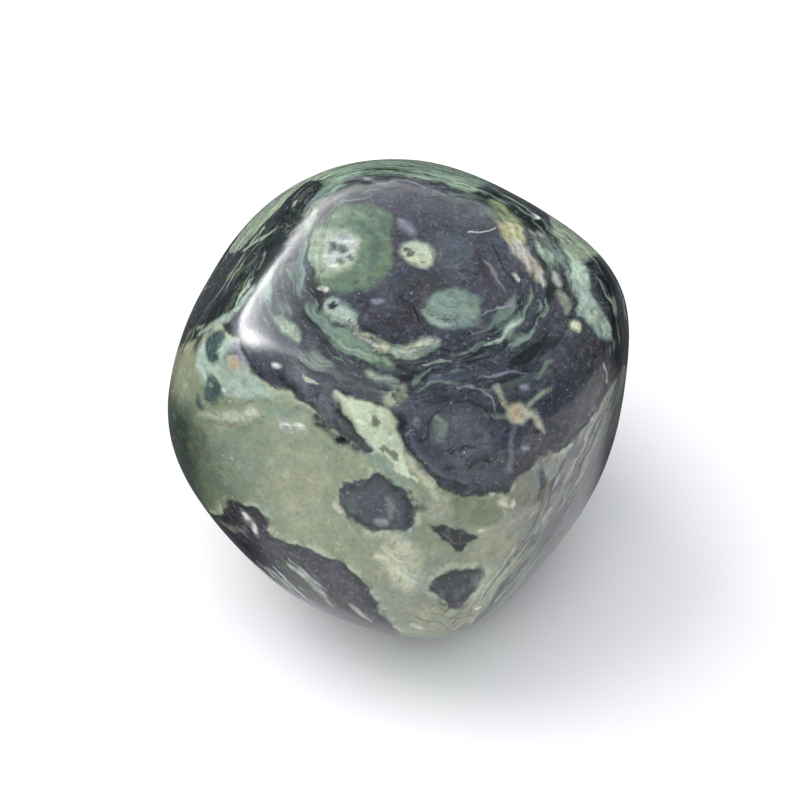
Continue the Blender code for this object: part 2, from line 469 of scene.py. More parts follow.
greenPatches = [
    area("fern", soft=2.4, cover=0.95, seen=[
        (440, 488), (447, 483), (457, 480), (468, 480), (480, 482), (491, 485), (502, 488), (509, 491),
        (503, 495), (495, 494), (486, 491), (476, 489), (466, 488), (456, 489), (448, 492), (442, 496)]),
    area("lichen", soft=1.4, seen=[
        (400, 521), (404, 514), (410, 507), (417, 500), (424, 494), (430, 490), (438, 486), (446, 482),
        (456, 481), (448, 485), (440, 490), (432, 492), (426, 497), (418, 505), (411, 512), (405, 519)]),
    line("lichen", 1.4, soft=1.5, seen=[(406, 520), (413, 515), (420, 510)]),
    line("olive", 2.2, soft=2, seen=[(402, 531), (407, 527), (413, 522)]),
    line("olive", 2.0, soft=2, cover=0.8, seen=[(397, 547), (402, 540), (406, 533)]),
    line("olive", 1.5, soft=2, cover=0.7, seen=[(426, 503), (431, 497), (437, 492)]),
    line("beige", 0.9, soft=2, cover=0.6, seen=[(424, 517), (430, 509), (437, 501), (443, 497)]),
    line("mint", 1.7, soft=2, cover=0.85, seen=[(387, 555), (393, 551), (400, 547), (406, 541), (410, 535)]),
    area("mint", soft=2.4, cover=0.9, seen=[
        (388, 560), (395, 556), (400, 556), (404, 561), (408, 568), (413, 575), (420, 579), (412, 582),
        (402, 581), (392, 578), (387, 570)]),
    area("teal", soft=1.8, seen=[
        (396, 552), (399, 554), (397, 560), (394, 566), (391, 566), (390, 560), (392, 555)]),
    area("teal", soft=1.8, seen=[(391, 571), (395, 572), (397, 577), (395, 583), (391, 583), (390, 577)]),
    line("teal", 1.3, soft=1.6, seen=[(387, 580), (388, 584), (390, 588)]),
    line("lilac", (1.6, 2.0, 1.2), soft=2.2, cover=0.8, seen=[(402, 560), (405, 565), (406, 571)]),
    area("bottle", soft=1.6, cover=0.9, seen=[
        (407, 585), (410, 583), (413, 585), (416, 588), (413, 589), (409, 587)]),
    line("fern", (1.5, 2.4, 2.4, 1.2), soft=2.6, cover=0.7, seen=[(413, 586), (421, 587), (428, 587), (433, 590)]),
    line("cream", (1.2, 2.0, 2.2, 1.4), soft=3.2, cover=0.6, seen=[(389, 588), (396, 589), (404, 589), (411, 587)]),
    area("leaf", soft=3.0, cover=0.95, seen=[
        (443, 504), (449, 501), (457, 501), (464, 503), (468, 509), (467, 517), (468, 525), (465, 531),
        (460, 535), (454, 536), (448, 538), (442, 537), (437, 531), (434, 523), (434, 514), (438, 508)]),
    area("lichen", soft=2.6, cover=0.8, seen=[
        (434, 514), (438, 511), (446, 511), (454, 513), (456, 518), (452, 525), (446, 530), (439, 531), (434, 524)]),
    line("lichen", 1.3, soft=2.6, cover=0.4, seen=[(443, 507), (450, 504), (458, 506)]),
    line("moss", 1.5, soft=2.6, cover=0.7, seen=[(466, 513), (466, 521), (461, 529), (454, 534)]),
    line("teal", (0.8, 1.5, 1.7, 0.8), soft=1.5, cover=0.6, seen=[
        (450, 508), (457, 510), (461, 515), (461, 522), (457, 528)]),
    line("teal", (0.7, 1.2, 0.7), soft=1.5, cover=0.45, seen=[(459, 503.5), (464, 508), (466, 514)]),
    area("pearl", soft=2.0, cover=0.85, seen=[
        (440, 516), (446, 513), (452, 514), (455, 518), (452, 524), (446, 528.5), (441, 527), (439, 521)]),
    area("mint", soft=1.9, cover=0.95, seen=[
        (440, 541), (445, 540), (450, 544), (454, 550), (457, 557), (451, 555), (445, 550), (440, 547)]),
    line("cream", (0.9, 1.5, 1.6, 1.0), soft=2, cover=0.7, seen=[(450, 551), (457, 556), (464, 560), (471, 563)]),
    line("fern", (1.2, 2.4, 2.4, 1.4), soft=2.4, cover=0.9, seen=[(441, 552), (448, 558), (457, 563), (467, 567)]),
    line("mint", 1.4, soft=2, seen=[(458, 571), (463, 573), (470, 575)]),
    line("lichen", (1.1, 2.1, 1.3), soft=1.8, seen=[(421, 548), (425, 552), (429, 557)]),
    dot("lime", 6.2, soft=2.2, cover=0.82, seen=[(478, 521), (479, 521.5)]),
    dot("reed", 1.3, soft=1.6, seen=[(475, 520), (475.5, 521)]),
    line("lilac", 1.9, soft=2.2, cover=0.8, seen=[(471, 508.5), (474, 510), (477, 512.5)]),
    area("jade", soft=2.6, cover=0.95, seen=[
        (482, 546), (483, 540), (488, 536.5), (494, 535), (500, 536.5), (504, 540), (505, 546), (502, 550.5),
        (496, 552), (489, 551.5), (484, 550)]),
    line("mint", 1.7, soft=2.2, cover=0.8, seen=[(482, 546), (485, 549), (489, 550), (495, 550)]),
    area("mint", soft=1.8, seen=[
        (466, 562), (473, 558.5), (481, 557), (489, 557), (488, 560), (482, 562.5), (476, 564), (470, 564)]),
    line("cream", 1.1, soft=1.8, cover=0.9, seen=[(472, 560), (478, 559), (485, 558)]),
    area("mint", soft=1.8, cover=0.85, seen=[
        (514, 556), (515, 552), (518, 549), (522, 548), (520, 553), (517, 557)]),
    area("moss", soft=2, seen=[(508, 500), (512, 499), (516, 503), (521, 507), (522, 512), (517, 512), (512, 508)]),
    area("wheat", soft=1.8, seen=[(513, 510), (517, 508), (521, 511), (523, 516), (520, 518), (516, 516)]),
    area("beige", soft=1.8, seen=[
        (517, 517), (521, 516), (524, 519), (527.5, 525), (531, 531), (531, 535), (528, 532), (522, 525)]),
    area("mint", soft=1.8, cover=0.9, seen=[
        (528, 517), (531, 518), (535, 522), (534, 525.5), (531, 524), (529, 520.5)]),
    area("lichen", soft=1.7, seen=[
        (531, 503), (536, 504), (542, 509), (548, 514), (554, 521), (549, 524), (545, 528), (541, 524),
        (538, 518), (535, 512)]),
    area("mint", soft=1.8, seen=[
        (541, 529), (545, 526), (549, 528), (550, 533), (552, 539), (555, 545), (558, 550), (560, 557),
        (555, 556), (550, 551), (546, 546), (544, 540), (542, 534)]),
    dot("cream", 1.8, soft=1.6, seen=[(543, 551), (545, 552)]),
    line("ash", 1.7, soft=1.8, cover=0.85, seen=[(538, 537), (540, 542), (541, 546)]),
    area("straw", soft=1.8, seen=[(465, 581), (470, 577), (474, 577), (474, 581), (471, 584), (467, 585)]),
    area("lime", soft=1.9, seen=[
        (443, 579), (450, 581), (459, 584), (466, 586), (468, 591), (470, 597), (474, 604), (479, 610),
        (486, 616), (484, 621), (475, 616), (468, 610), (461, 603), (455, 596), (449, 587)]),
    line("cream", (0.4, 0.9, 0.8), soft=1.8, cover=0.8, seen=[(517, 586), (514, 582), (512, 577)]),
    line("jade", (0.9, 0.8, 0.4), soft=1.8, cover=0.8, seen=[(517, 589), (511, 589), (506, 588)]),
    line("lichen", (1.1, 0.9, 0.5), soft=1.8, cover=0.9, seen=[(523, 586), (528, 582), (533, 578)]),
    line("cream", (1.2, 1.2, 0.5), soft=1.8, cover=0.9, seen=[(524, 588), (528, 590), (531, 596)]),
    dot("cream", 4.0, soft=2.4, cover=0.9, seen=[(520, 587.5), (521, 588)]),
    line("fog", (0.8, 1.0, 1.2, 0.9), soft=1.6, cover=0.8, seen=[(519, 593), (518, 599), (518, 605), (517, 611)]),
    line("jade", (1.4, 1.9, 1.5), soft=1.8, cover=0.9, seen=[(487, 590), (488, 594), (488, 598.5)]),
    area("moss", soft=1.6, seen=[
        (490, 625), (495, 623), (502, 623), (510, 622), (513, 626), (512, 633), (505, 634), (498, 633), (491, 632)]),
    area("reed", soft=1.6, seen=[
        (520, 614), (526, 611), (528, 617), (528, 624), (522, 626), (517, 626), (518, 620)]),
    area("ash", soft=2.6, cover=0.8, seen=[(480, 626), (485, 624), (492, 625), (492, 630), (485, 632), (480, 630)]),
    line("fern", 1.8, soft=2, cover=0.9, seen=[(456, 605), (461, 607), (466, 611), (472, 616), (479, 619)]),
    area("olive", soft=2, cover=0.7, seen=[
        (421, 649), (427, 650), (433, 655), (440, 661), (446, 668), (440, 667), (433, 662), (426, 656)]),
    line("pewter", (0.9, 1.8, 1.2), soft=2.2, cover=0.8, seen=[(406.5, 628.5), (409, 633), (411.5, 637)]),
    dot("chalk", 0.9, soft=1.5, seen=[(407.5, 630), (408.5, 632)]),
    dot("chalk", 0.8, soft=1.5, seen=[(410.5, 634.5), (411, 636.5)]),
    line("reed", 2.0, soft=2, cover=0.8, seen=[(396, 633), (400, 635), (404, 636)]),
    line("beige", 1.2, soft=1.5, cover=0.9, seen=[(408, 651), (413, 656), (418, 662)]),
    line("fern", 1.3, soft=2, cover=0.8, seen=[(417, 653), (423, 658), (430, 665)]),
    line("pearl", (0.6, 1.4, 1.5, 1.0), soft=1.6, cover=0.75, seen=[
        (425, 650.5), (431, 655), (437, 661), (443, 668)]),
    line("ink", (0.5, 1.0, 1.0, 0.6), soft=1.6, cover=0.85, seen=[(421, 653), (428, 659), (435, 667)]),
    line("ink", (0.5, 1.0, 1.0, 0.6), soft=1.6, cover=0.85, seen=[(404, 648), (412, 656), (421, 665)]),
    line("beige", 1.5, soft=1.6, cover=0.9, seen=[(450, 667), (454, 670), (459, 674)]),
    line("pewter", 1.4, soft=2, cover=0.7, seen=[(466, 624), (468, 629), (466, 634)]),
    line("cream", 1.5, soft=2.4, cover=0.7, seen=[(474, 604), (479, 612), (486, 621), (491, 624)]),
    # painted highlight: a faint pale haze round the two glints below
    area("pearl", soft=3, cover=0.25, seen=[(420, 590), (431, 591), (433, 596), (424, 598)]),
    area("cream", soft=4, cover=0.6, seen=[(466, 641), (474, 640), (480, 648), (478, 660), (470, 660), (464, 650)]),
]

fineThreads = [
    thread("thread", 1.2, seen=[(495, 563), (501, 561), (507, 558.5)]),
    thread("mint", 0.8, seen=[(506, 560), (511, 558), (517, 555)]),
    thread("thread", 0.9, seen=[(521, 550), (524, 545), (525, 540), (526, 535)]),
    thread("jade", 1.0, seen=[(532, 540), (531, 545), (528, 550)]),
    thread("mint", 0.7, seen=[(480, 567.5), (486, 567), (492, 565.5)]),
    thread("thread", 1.0, seen=[(477, 575), (480, 572), (484, 570), (489, 569)]),
    thread("lilac", 0.6, soft=1.3, cover=0.7, seen=[(506, 572.5), (514, 571), (524, 570.5)]),
    thread("thread", 1.0, seen=[(528, 574), (531, 570), (535, 566)]),
    thread("chalk", 0.36, cover=0.75, seen=[(500, 513), (506, 512.4), (512, 511)]),
    thread("lilac", 0.6, soft=1.3, cover=0.7, seen=[(506, 547), (511, 545), (516, 544), (519, 540)]),
    thread("lilac", 0.6, soft=1.3, cover=0.7, seen=[
        (495, 576.5), (500, 576.5), (505, 578.5), (509, 582), (511, 587)]),
    thread("thread", 0.7, seen=[(477, 579), (482, 576), (489, 575), (497, 575)]),
    thread("mauve", 0.9, seen=[(483, 600), (488, 605), (495, 609)]),
    thread("ink", 0.6, soft=1.4, cover=0.6, seen=[
        (483, 599), (484, 591), (490, 585), (498, 583), (506, 585.5), (511, 592)]),
    thread("haze", 1.2, soft=2, cover=0.7, seen=[(475, 591), (477, 600), (483, 608), (491, 614), (500, 616.5)]),
    thread("mauve", 0.8, seen=[(478, 599), (483, 606), (490, 612), (498, 615)]),
    thread("mauve", 0.8, seen=[(488, 586), (495, 584), (503, 586), (509, 591)]),
    thread("steel", 0.8, seen=[(474, 590), (474, 583), (478, 577)]),
    thread("rust", 0.6, soft=1.8, cover=0.5, seen=[(391, 591), (395, 593), (400, 593), (404, 591), (408, 589)]),
    thread("lilac", 0.6, soft=1.3, cover=0.7, seen=[(473, 597), (475, 595), (478, 594)]),
    thread("thread", 0.8, seen=[(388, 538), (394, 529), (401, 520)]),
    thread("pearl", 0.6, seen=[(379, 551), (382, 546), (386, 541)]),
    thread("fog", 0.9, seen=[(426, 502), (428, 498), (431, 494)]),
    thread("thread", 0.8, seen=[(382, 560), (384, 554), (388, 549)]),
    thread("jade", 0.6, seen=[(394, 541), (399, 533), (405, 526)]),
    thread("lichen", 0.6, seen=[(398, 537), (403, 529), (409, 521), (416, 513)]),
    thread("ink", 0.7, seen=[(411, 513), (418, 505), (426, 498), (434, 492)]),
    thread("ink", 0.7, seen=[(405, 511), (412, 503), (420, 496), (430, 489)]),
    thread("olive", 0.9, seen=[(527, 638), (521, 645), (514, 654)]),
    thread("smoke", 0.9, seen=[(526, 637), (519, 646), (511, 657), (505, 664)]),
    thread("smoke", 0.8, seen=[(532, 638), (524, 649), (515, 660), (507, 669)]),
    thread("smoke", 0.9, seen=[(541, 625), (534, 638), (525, 651)]),
    thread("pearl", 1.0, soft=1.4, cover=0.6, seen=[(519, 643), (513, 652), (507, 660), (502, 669)]),
    thread("pearl", 0.9, soft=1.4, cover=0.6, seen=[(538, 612), (534, 621), (530, 630)]),
    # painted highlight: pale threads along the lower right ridge, where the polish reflects the floor
    thread("pearl", 0.9, soft=1.4, cover=0.6, seen=[(552, 592), (545, 606), (538, 620), (531, 633)]),
    thread("pearl", 0.7, soft=1.4, cover=0.6, seen=[(560, 578), (554, 592), (546, 608)]),
    thread("smoke", 1.0, seen=[(556, 586), (549, 600), (543, 612)]),
    thread("smoke", 1.0, seen=[(540, 606), (535, 617), (532, 628)]),
    thread("pitch", 0.9, seen=[(562, 572), (557, 586), (549, 604), (541, 622)]),
    thread("pearl", 0.6, soft=1.4, cover=0.6, seen=[(528, 646), (520, 656), (511, 666)]),
    thread("bark", 0.7, soft=1.5, cover=0.5, seen=[(473, 671), (481, 674), (489, 676), (496, 679)]),
    thread("bark", 0.6, soft=1.5, cover=0.45, seen=[(480, 670), (487, 672), (495, 673), (503, 672)]),
    thread("cream", 1.0, seen=[(471, 652), (473, 656), (478, 659)]),
    thread("cream", 0.7, seen=[(464, 643), (468, 648), (472, 650)]),
    thread("cream", 1.1, seen=[(430, 572), (433, 574), (437, 576)]),
    thread("mint", 0.9, seen=[(469, 487.5), (475, 488.5), (484, 490)]),
    thread("mint", 0.8, seen=[(448, 487), (458, 484), (470, 483), (482, 485)]),
    thread("bottle", 0.8, seen=[(444, 490), (454, 487), (466, 486), (480, 488), (492, 491)]),
    thread("cream", 1.1, seen=[(494, 492), (499, 493), (503, 495)]),
    thread("fog", 1.0, seen=[(553, 531), (556, 535), (558, 539)]),
    # painted highlight: the top of the pale line along the lower right ridge
    thread("pearl", 0.7, seen=[(556, 567), (557, 572), (557, 577)]),
    thread("bottle", 0.8, seen=[(474, 483), (486, 486), (498, 490)]),
    thread("deepSage", 1.0, seen=[(402, 613), (404, 616), (406, 619)]),
    thread("mauve", 0.9, seen=[(489, 638), (492, 641), (496, 642)]),
    thread("pearl", 0.8, seen=[(419, 652), (426, 659), (434, 666)]),
    thread("pearl", 0.7, seen=[(425, 648), (433, 655), (441, 662)]),
    thread("fog", 0.7, seen=[(404, 646), (411, 653), (419, 661)]),
    thread("beige", 0.7, seen=[(412, 649), (418, 655), (424, 660)]),
    thread("plum", 0.8, seen=[(503, 519), (506, 528), (511, 536)]),
    thread("ink", 0.7, seen=[(509, 517), (513, 526), (518, 533)]),
    thread("fog", 0.6, seen=[(506, 524), (511, 531), (516, 537)]),
    thread("ink", 0.8, seen=[(470, 538), (476, 543), (480, 550)]),
    thread("fog", 0.6, seen=[(460, 492), (470, 491), (481, 493), (490, 497)]),
    thread("bottle", 0.9, seen=[(436, 507), (433, 516), (433, 525), (436, 533)]),
    thread("thread", 0.7, seen=[(441, 505), (449, 499), (459, 498)]),
    thread("pewter", 0.7, seen=[(530, 605), (527, 612), (526, 620)]),
    thread("bark", 0.6, seen=[(533, 615), (531, 622), (529, 628)]),
    thread("bark", 0.7, seen=[(539, 617), (537, 622), (535, 626)]),
]

smallDots = [
    # painted highlight: a glint near the ridge's lower corner
    dot("chalk", 0.9, soft=1.4, seen=[(419.5, 567), (421, 567)]),
    dot("chalk", 0.9, soft=1.4, seen=[(519, 531), (519.5, 532)]),
    dot("chalk", 1.1, soft=1.4, seen=[(527, 506), (527.5, 505)]),
    dot("chalk", 1.0, soft=1.4, seen=[(529, 513), (530, 514)]),
    dot("lilac", 1.2, soft=1.6, seen=[(511, 577), (512, 577)]),
    dot("lilac", 1.3, soft=1.6, seen=[(522, 577), (523, 577)]),
    dot("cream", 1.3, soft=1.4, seen=[(505, 637), (506, 637)]),
    dot("cream", 1.5, soft=1.4, seen=[(514, 625), (515, 626)]),
    dot("cream", 1.4, soft=1.4, seen=[(518, 626), (519, 625)]),
    dot("cream", 1.3, soft=1.6, seen=[(445, 626), (446, 627)]),
    # painted highlights: two small glints side by side
    dot("chalk", 1.2, soft=1.6, seen=[(422.5, 592.5), (425, 592.5)]),
    dot("chalk", 1.1, soft=1.4, seen=[(429, 592.5), (430, 592.5)]),
    dot("chalk", 0.9, soft=1.6, seen=[(447, 516.5), (451, 516)]),
    dot("chalk", 0.8, soft=1.6, seen=[(443, 527), (445, 527.5)]),
    dot("steel", 1.2, soft=1.4, seen=[(446, 519), (447, 520)]),
    dot("teal", 1.1, soft=1.4, seen=[(442.5, 517.5), (443, 519)]),
    dot("teal", 1.1, soft=1.4, seen=[(445.5, 524), (447, 525.5)]),
    dot("steel", 1.0, soft=1.4, seen=[(450.5, 523), (451, 523.5)]),
    dot("pitch", 0.9, soft=1.4, seen=[(444.5, 542.5), (445, 542.5)]),
    dot("chalk", 0.8, soft=1.4, seen=[(439, 535.5), (440, 536.5)]),
    dot("lilac", 1.2, soft=1.8, seen=[(461, 541), (463, 541)]),
    dot("chalk", 0.9, soft=1.4, seen=[(503, 669), (504, 669)]),
    dot("lilac", 1.2, soft=1.6, seen=[(523, 602), (524, 602)]),
    dot("fog", 1.3, soft=1.8, seen=[(478, 591), (479, 592)]),
    dot("bark", 1.0, soft=1.8, cover=0.8, seen=[(460.5, 590.5), (461, 591)]),
    dot("bark", 0.8, soft=1.8, cover=0.8, seen=[(465, 603), (465.5, 603)]),
    dot("bark", 0.9, soft=1.8, cover=0.8, seen=[(468, 605), (468.5, 606)]),
    dot("moss", 1.2, soft=1.6, seen=[(440, 601), (441, 601)]),
    dot("bark", 1.1, soft=1.6, seen=[(384, 601), (384.5, 602)]),
    dot("bark", 1.1, soft=1.6, seen=[(388, 594), (388.5, 595)]),
    dot("moss", 1.3, soft=1.6, seen=[(482, 641), (482.5, 642)]),
    dot("bark", 1.0, soft=1.6, seen=[(480, 626), (480.5, 627)]),
    dot("moss", 1.4, soft=1.6, seen=[(430, 641), (431, 642)]),
    dot("tan", 2.4, soft=1.8, seen=[(520, 587), (521, 588)]),
    dot("rust", 0.9, soft=1.6, cover=0.7, seen=[(520.5, 586), (521, 588)]),
    dot("umber", 2.8, soft=2.6, cover=0.7, seen=[(400, 563.5), (401.5, 564)]),
    dot("tan", 2.2, soft=2.4, cover=0.9, seen=[(401.5, 566), (402.5, 567)]),
    dot("cream", 1.8, soft=1.8, seen=[(408, 588), (410, 588)]),
    dot("moss", 1.5, soft=1.6, seen=[(471, 580.5), (471.5, 581.5)]),
    dot("cream", 1.5, soft=1.8, seen=[(477, 676), (479, 677)]),
    dot("cream", 1.4, soft=1.8, seen=[(462, 647), (465, 648)]),
    dot("pearl", 0.9, soft=2.4, cover=0.75, seen=[(461, 633), (466, 634)]),
    dot("teal", 1.5, soft=1.8, seen=[(450, 624), (452, 629)]),
    dot("pearl", 1.2, soft=1.6, seen=[(551, 590), (552, 590)]),
    dot("chalk", 0.9, soft=1.4, seen=[(427, 501), (427.5, 500)]),
    dot("pearl", 1.2, soft=1.8, seen=[(536, 530), (537, 534)]),
    dot("chalk", 0.7, soft=1.4, seen=[(398, 578), (398.5, 578)]),
]

# Bundles of fine bands. Each runs alongside a guide line, given as marks are, and shows within a
# band of distances from it in mm, or within areas. spacing is a band's width in mm. A level is how
# rare the dark or the pale bands are: 0.5 is half, 0.65 is few. Flows in one slot stay apart.
flowBands = {
    "swirlBands": {
        "guide": {"seen": [
            (437, 499), (431, 510), (427, 522), (427, 535), (431, 545), (438, 553), (447, 559), (457, 564),
            (470, 567), (484, 567), (498, 564), (510, 560), (519, 554), (526, 546), (529, 536), (528, 524),
            (522, 510), (512, 500), (500, 494), (485, 491), (468, 490), (452, 492), (442, 495)], "closed": True},
        "band": (-1.3, 2.1), "slot": 0, "fade": 0.7, "spacing": 0.17,
        "dark": ("pitch", 0.525), "pale": ("thread", 0.545), "cover": 0.9, "grain": 0.8,
    },
    "rimBands": {
        "guide": {"seen": [
            (404, 574), (406, 560), (410, 546), (418, 531), (428, 516), (438, 503), (450, 494), (466, 489),
            (484, 490), (502, 495), (518, 504), (532, 516), (544, 529), (552, 543), (556, 556), (558, 568)]},
        "areas": [{"seen": [
            (384, 562), (396, 552), (410, 538), (423, 520), (435, 504), (447, 494), (464, 491), (486, 493),
            (508, 500), (526, 513), (540, 531), (552, 549), (558, 567), (566, 568)],
            "around": [(4, 16), (16, 26), (50, 30), (90, 34), (126, 26), (150, 14), (172, 10)]}],
        "slot": 1, "fade": 0.5, "spacing": 0.24,
        "dark": ("ink", 0.55), "pale": ("lichen", 0.60), "cover": 0.75, "grain": 0.8,
    },
    "limbBands": {
        "guide": {"seen": [(563, 552), (558, 572), (550, 592), (538, 614), (524, 636), (508, 658), (492, 678)]},
        "areas": [{"seen": [
            (560, 560), (552, 572), (544, 592), (534, 608), (526, 626), (516, 644), (504, 662), (490, 678)],
            "around": [(-68, -38), (-52, -28), (-36, -22), (-22, -12), (-10, 0), (0, 12)]}],
        "slot": 0, "fade": 0.9, "spacing": 0.25,
        "dark": ("smoke", 0.52), "pale": ("pewter", 0.57), "cover": 0.7, "grain": 0.8,
    },
    "toeBands": {
        "guide": {"seen": [(386, 622), (398, 632), (412, 644), (426, 655), (442, 667), (462, 682)]},
        "areas": [{"seen": [
            (386, 628), (398, 632), (412, 639), (424, 647), (434, 656), (446, 666), (458, 675), (466, 681)],
            "around": [(-94, -38), (-112, -32), (-130, -28), (-146, -24), (-156, -14)]}],
        "slot": 1, "fade": 0.6, "spacing": 0.26,
        "dark": ("ink", 0.52), "pale": ("fog", 0.62), "cover": 0.8, "grain": 0.8,
    },
    "backBands": {
        "guide": {"around": [
            (-6, 10), (12, 16), (32, 8), (54, 10), (76, 20), (98, 14), (120, 8), (142, 12), (164, 4), (184, 2)]},
        "band": (-3.2, 2.2), "slot": 0, "fade": 1.4, "spacing": 0.34,
        "dark": ("bottle", 0.54), "pale": ("lichen", 0.58), "cover": 0.85, "grain": 0.7,
    },
    "underBands": {
        "guide": {"around": [(-50, -40), (-20, -50), (14, -46), (48, -52), (84, -42), (120, -44), (150, -60)]},
        "band": (-1.8, 1.6), "slot": 1, "fade": 0.9, "spacing": 0.30,
        "dark": ("bottle", 0.53), "pale": ("mint", 0.59), "cover": 0.8, "grain": 0.6,
    },
}

# Orbs on the sides that the photograph hides: (azimuth, elevation, radius in mm, seed).
hiddenOrbs = [
    (78, 14, 2.6, 3), (128, 4, 1.9, 5), (22, -2, 2.1, 8), (52, -34, 2.4, 13), (164, -30, 1.7, 21),
    (104, -34, 1.5, 34), (8, -40, 1.3, 55), (140, 24, 1.4, 70), (60, 36, 1.9, 71), (-30, -26, 1.4, 75),
    (-152, -44, 1.6, 81), (-80, -50, 1.9, 90), (98, -2, 0.9, 91), (146, -12, 1.0, 92), (38, 14, 1.2, 95),
    (160, -2, 1.3, 97), (-20, -52, 0.9, 99), (100, 44, 1.5, 101), (30, 34, 1.0, 103), (68, -6, 1.0, 104),
]

# How they are drawn: a dark rim round part of the disc, rings at these shares of its radius, and a
# green eye in the larger ones. Widths are in mm.
orbLook = {
    "points": 22, "lobes": 0.08,
    "rim": 0.94, "rimPoints": 12, "rimWidth": (0.04, 0.2, 0.28, 0.16, 0.03),
    "rings": [(1.12, "mint"), (1.24, "thread"), (0.76, "thread"), (0.6, "mauve"), (0.44, "fog")],
    "ringPoints": (9, 20), "ringWidth": (0.03, 0.09, 0.11, 0.07, 0.02),
    "eyeFrom": 1.4, "eye": 0.22, "eyeShift": 3.0, "eyeLobes": 0.16,
}

# Small lenses, dots and threads, drawn by lot: azimuths and elevations between these, and how
# many. Only those on the sides that the photograph hides are kept, with clear as the margin.
# Sizes are in mm, steps and slopes in degrees.
hiddenScraps = {
    "azimuth": (-75, 255), "elevation": (-70, 44), "clear": 0.16, "seed": 310,
    "lenses": 110, "lensRadius": (0.16, 0.5), "lensStretch": (1.6, 3.6), "lensTurn": 16,
    "lensPoints": 12, "lensLobes": 0.1, "lensSoft": (1.6, 3.0), "lensCover": (0.6, 0.95),
    "lensColours": ["mint", "fern", "lichen", "jade", "beige", "moss", "fog", "bottle", "plum", "straw"],
    "dots": 150, "dotRadius": (0.1, 0.2), "dotLength": (0.2, 0.9), "dotSlope": 0.4, "dotSoft": 1.6,
    "dotColours": ["chalk", "cream", "lilac", "bark", "moss", "tan", "pitch", "cream"],
    "threads": 120, "threadWidth": (0.06, 0.12), "threadStep": (3.0, 8.0), "threadSlope": 2.0, "threadBend": 1.2,
    "threadColours": ["thread", "mint", "bottle", "mauve", "pearl", "ink", "cream", "jade"],
}


# A round outline with lobes: radius times 1 + small cosines of two to five turns. stretch makes it
# longer along its east, and turned turns it from there, in degrees.
def lobedOutline(azimuth, elevation, radius, seed, points, lobes, stretch=1.0, turned=0.0):
    draw = np.random.default_rng(seed)
    middle = towards(azimuth, elevation)
    east = unit(np.cross([0.0, 0.0, 1.0], middle))
    north = np.cross(middle, east)
    turn = np.linspace(0.0, 2 * math.pi, points, endpoint=False)
    reach = np.ones(points)
    for k in range(2, 6):
        reach = reach + lobes * draw.normal() * np.cos(k * turn + draw.uniform(0.0, 2 * math.pi))
    angle = math.radians(turned)
    reach = radius * reach / wornRadius(middle[None])[0]
    flat = np.stack([np.cos(turn) * stretch, np.sin(turn)], axis=1) * reach[:, None]
    flat = flat @ np.array([[math.cos(angle), math.sin(angle)], [-math.sin(angle), math.cos(angle)]])
    return unit(middle + flat[:, :1] * east + flat[:, 1:] * north)


def orbMarks():
    look = orbLook
    discs, patches, threads = [], [], []
    for azimuth, elevation, radius, seed in hiddenOrbs:
        draw = np.random.default_rng(seed)

        def outline(share):
            return lobedOutline(azimuth, elevation, radius * share, seed, look["points"], look["lobes"])

        discs.append({**area("slate"), "rays": outline(1.0)})
        rim = np.roll(outline(look["rim"]), draw.integers(0, look["points"]), axis=0)[:look["rimPoints"]]
        patches.append({**line("ink", look["rimWidth"], soft=1.5), "rays": rim})
        for share, colour in look["rings"]:
            ring = np.roll(outline(share), draw.integers(0, look["points"]), axis=0)
            ring = ring[:draw.integers(*look["ringPoints"])]
            threads.append({**thread(colour, look["ringWidth"]), "rays": ring})
        if radius > look["eyeFrom"]:
            shift = draw.uniform(-look["eyeShift"], look["eyeShift"], 2)
            eye = lobedOutline(
                azimuth + shift[0], elevation + shift[1], radius * look["eye"], seed + 1,
                look["points"], look["eyeLobes"])
            patches.append({**area("jade", soft=2.4, cover=0.9), "rays": eye})
    return discs, patches, threads


def scrapMarks():
    scraps = hiddenScraps
    draw = np.random.default_rng(scraps["seed"])

    def placed():
        return np.array([draw.uniform(*scraps["azimuth"]), draw.uniform(*scraps["elevation"])])

    def hidden(place):
        return float(towards(*place) @ viewBack) < -scraps["clear"]

    patches, threads = [], []
    for _ in range(scraps["lenses"]):
        place = placed()
        outline = lobedOutline(
            *place, draw.uniform(*scraps["lensRadius"]), draw.integers(1, 9999), scraps["lensPoints"],
            scraps["lensLobes"], draw.uniform(*scraps["lensStretch"]), draw.normal() * scraps["lensTurn"])
        colour = draw.choice(scraps["lensColours"])
        soft, cover = draw.uniform(*scraps["lensSoft"]), draw.uniform(*scraps["lensCover"])
        lens = {**area(colour, soft=soft, cover=cover), "rays": outline}
        if hidden(place):
            patches.append(lens)
    for _ in range(scraps["dots"]):
        place = placed()
        end = place + np.array([draw.uniform(*scraps["dotLength"]), draw.normal() * scraps["dotSlope"]])
        colour = draw.choice(scraps["dotColours"])
        spot = dot(colour, draw.uniform(*scraps["dotRadius"]), soft=scraps["dotSoft"], around=[place, end])
        if hidden(place):
            patches.append(spot)
    for _ in range(scraps["threads"]):
        place = placed()
        step = np.array([draw.uniform(*scraps["threadStep"]), draw.normal() * scraps["threadSlope"]])
        bend = np.array([0.0, draw.normal() * scraps["threadBend"]])
        colour = draw.choice(scraps["threadColours"])
        path = [place, place + step + bend, place + step * 2 + bend * 4]
        wisp = thread(colour, draw.uniform(*scraps["threadWidth"]), around=path)
        if hidden(place) and hidden(wisp["around"][2]):
            threads.append(wisp)
    return patches, threads


def markRays(mark):
    if "rays" in mark:
        return mark["rays"], 1.0
    pieces = []
    if len(mark.get("seen", ())):
        pieces.append(seenAt(mark["seen"]))
    if len(mark.get("around", ())):
        turned = np.array(mark["around"], dtype=float)
        pieces.append(towards(turned[:, 0], turned[:, 1]))
    return np.concatenate(pieces), mmPerPixel if len(mark.get("seen", ())) else 1.0


# How many layers each stack of marks has.
layerCounts = {"darkRock": 1, "under": 4, "over": 8, "threads": 4}

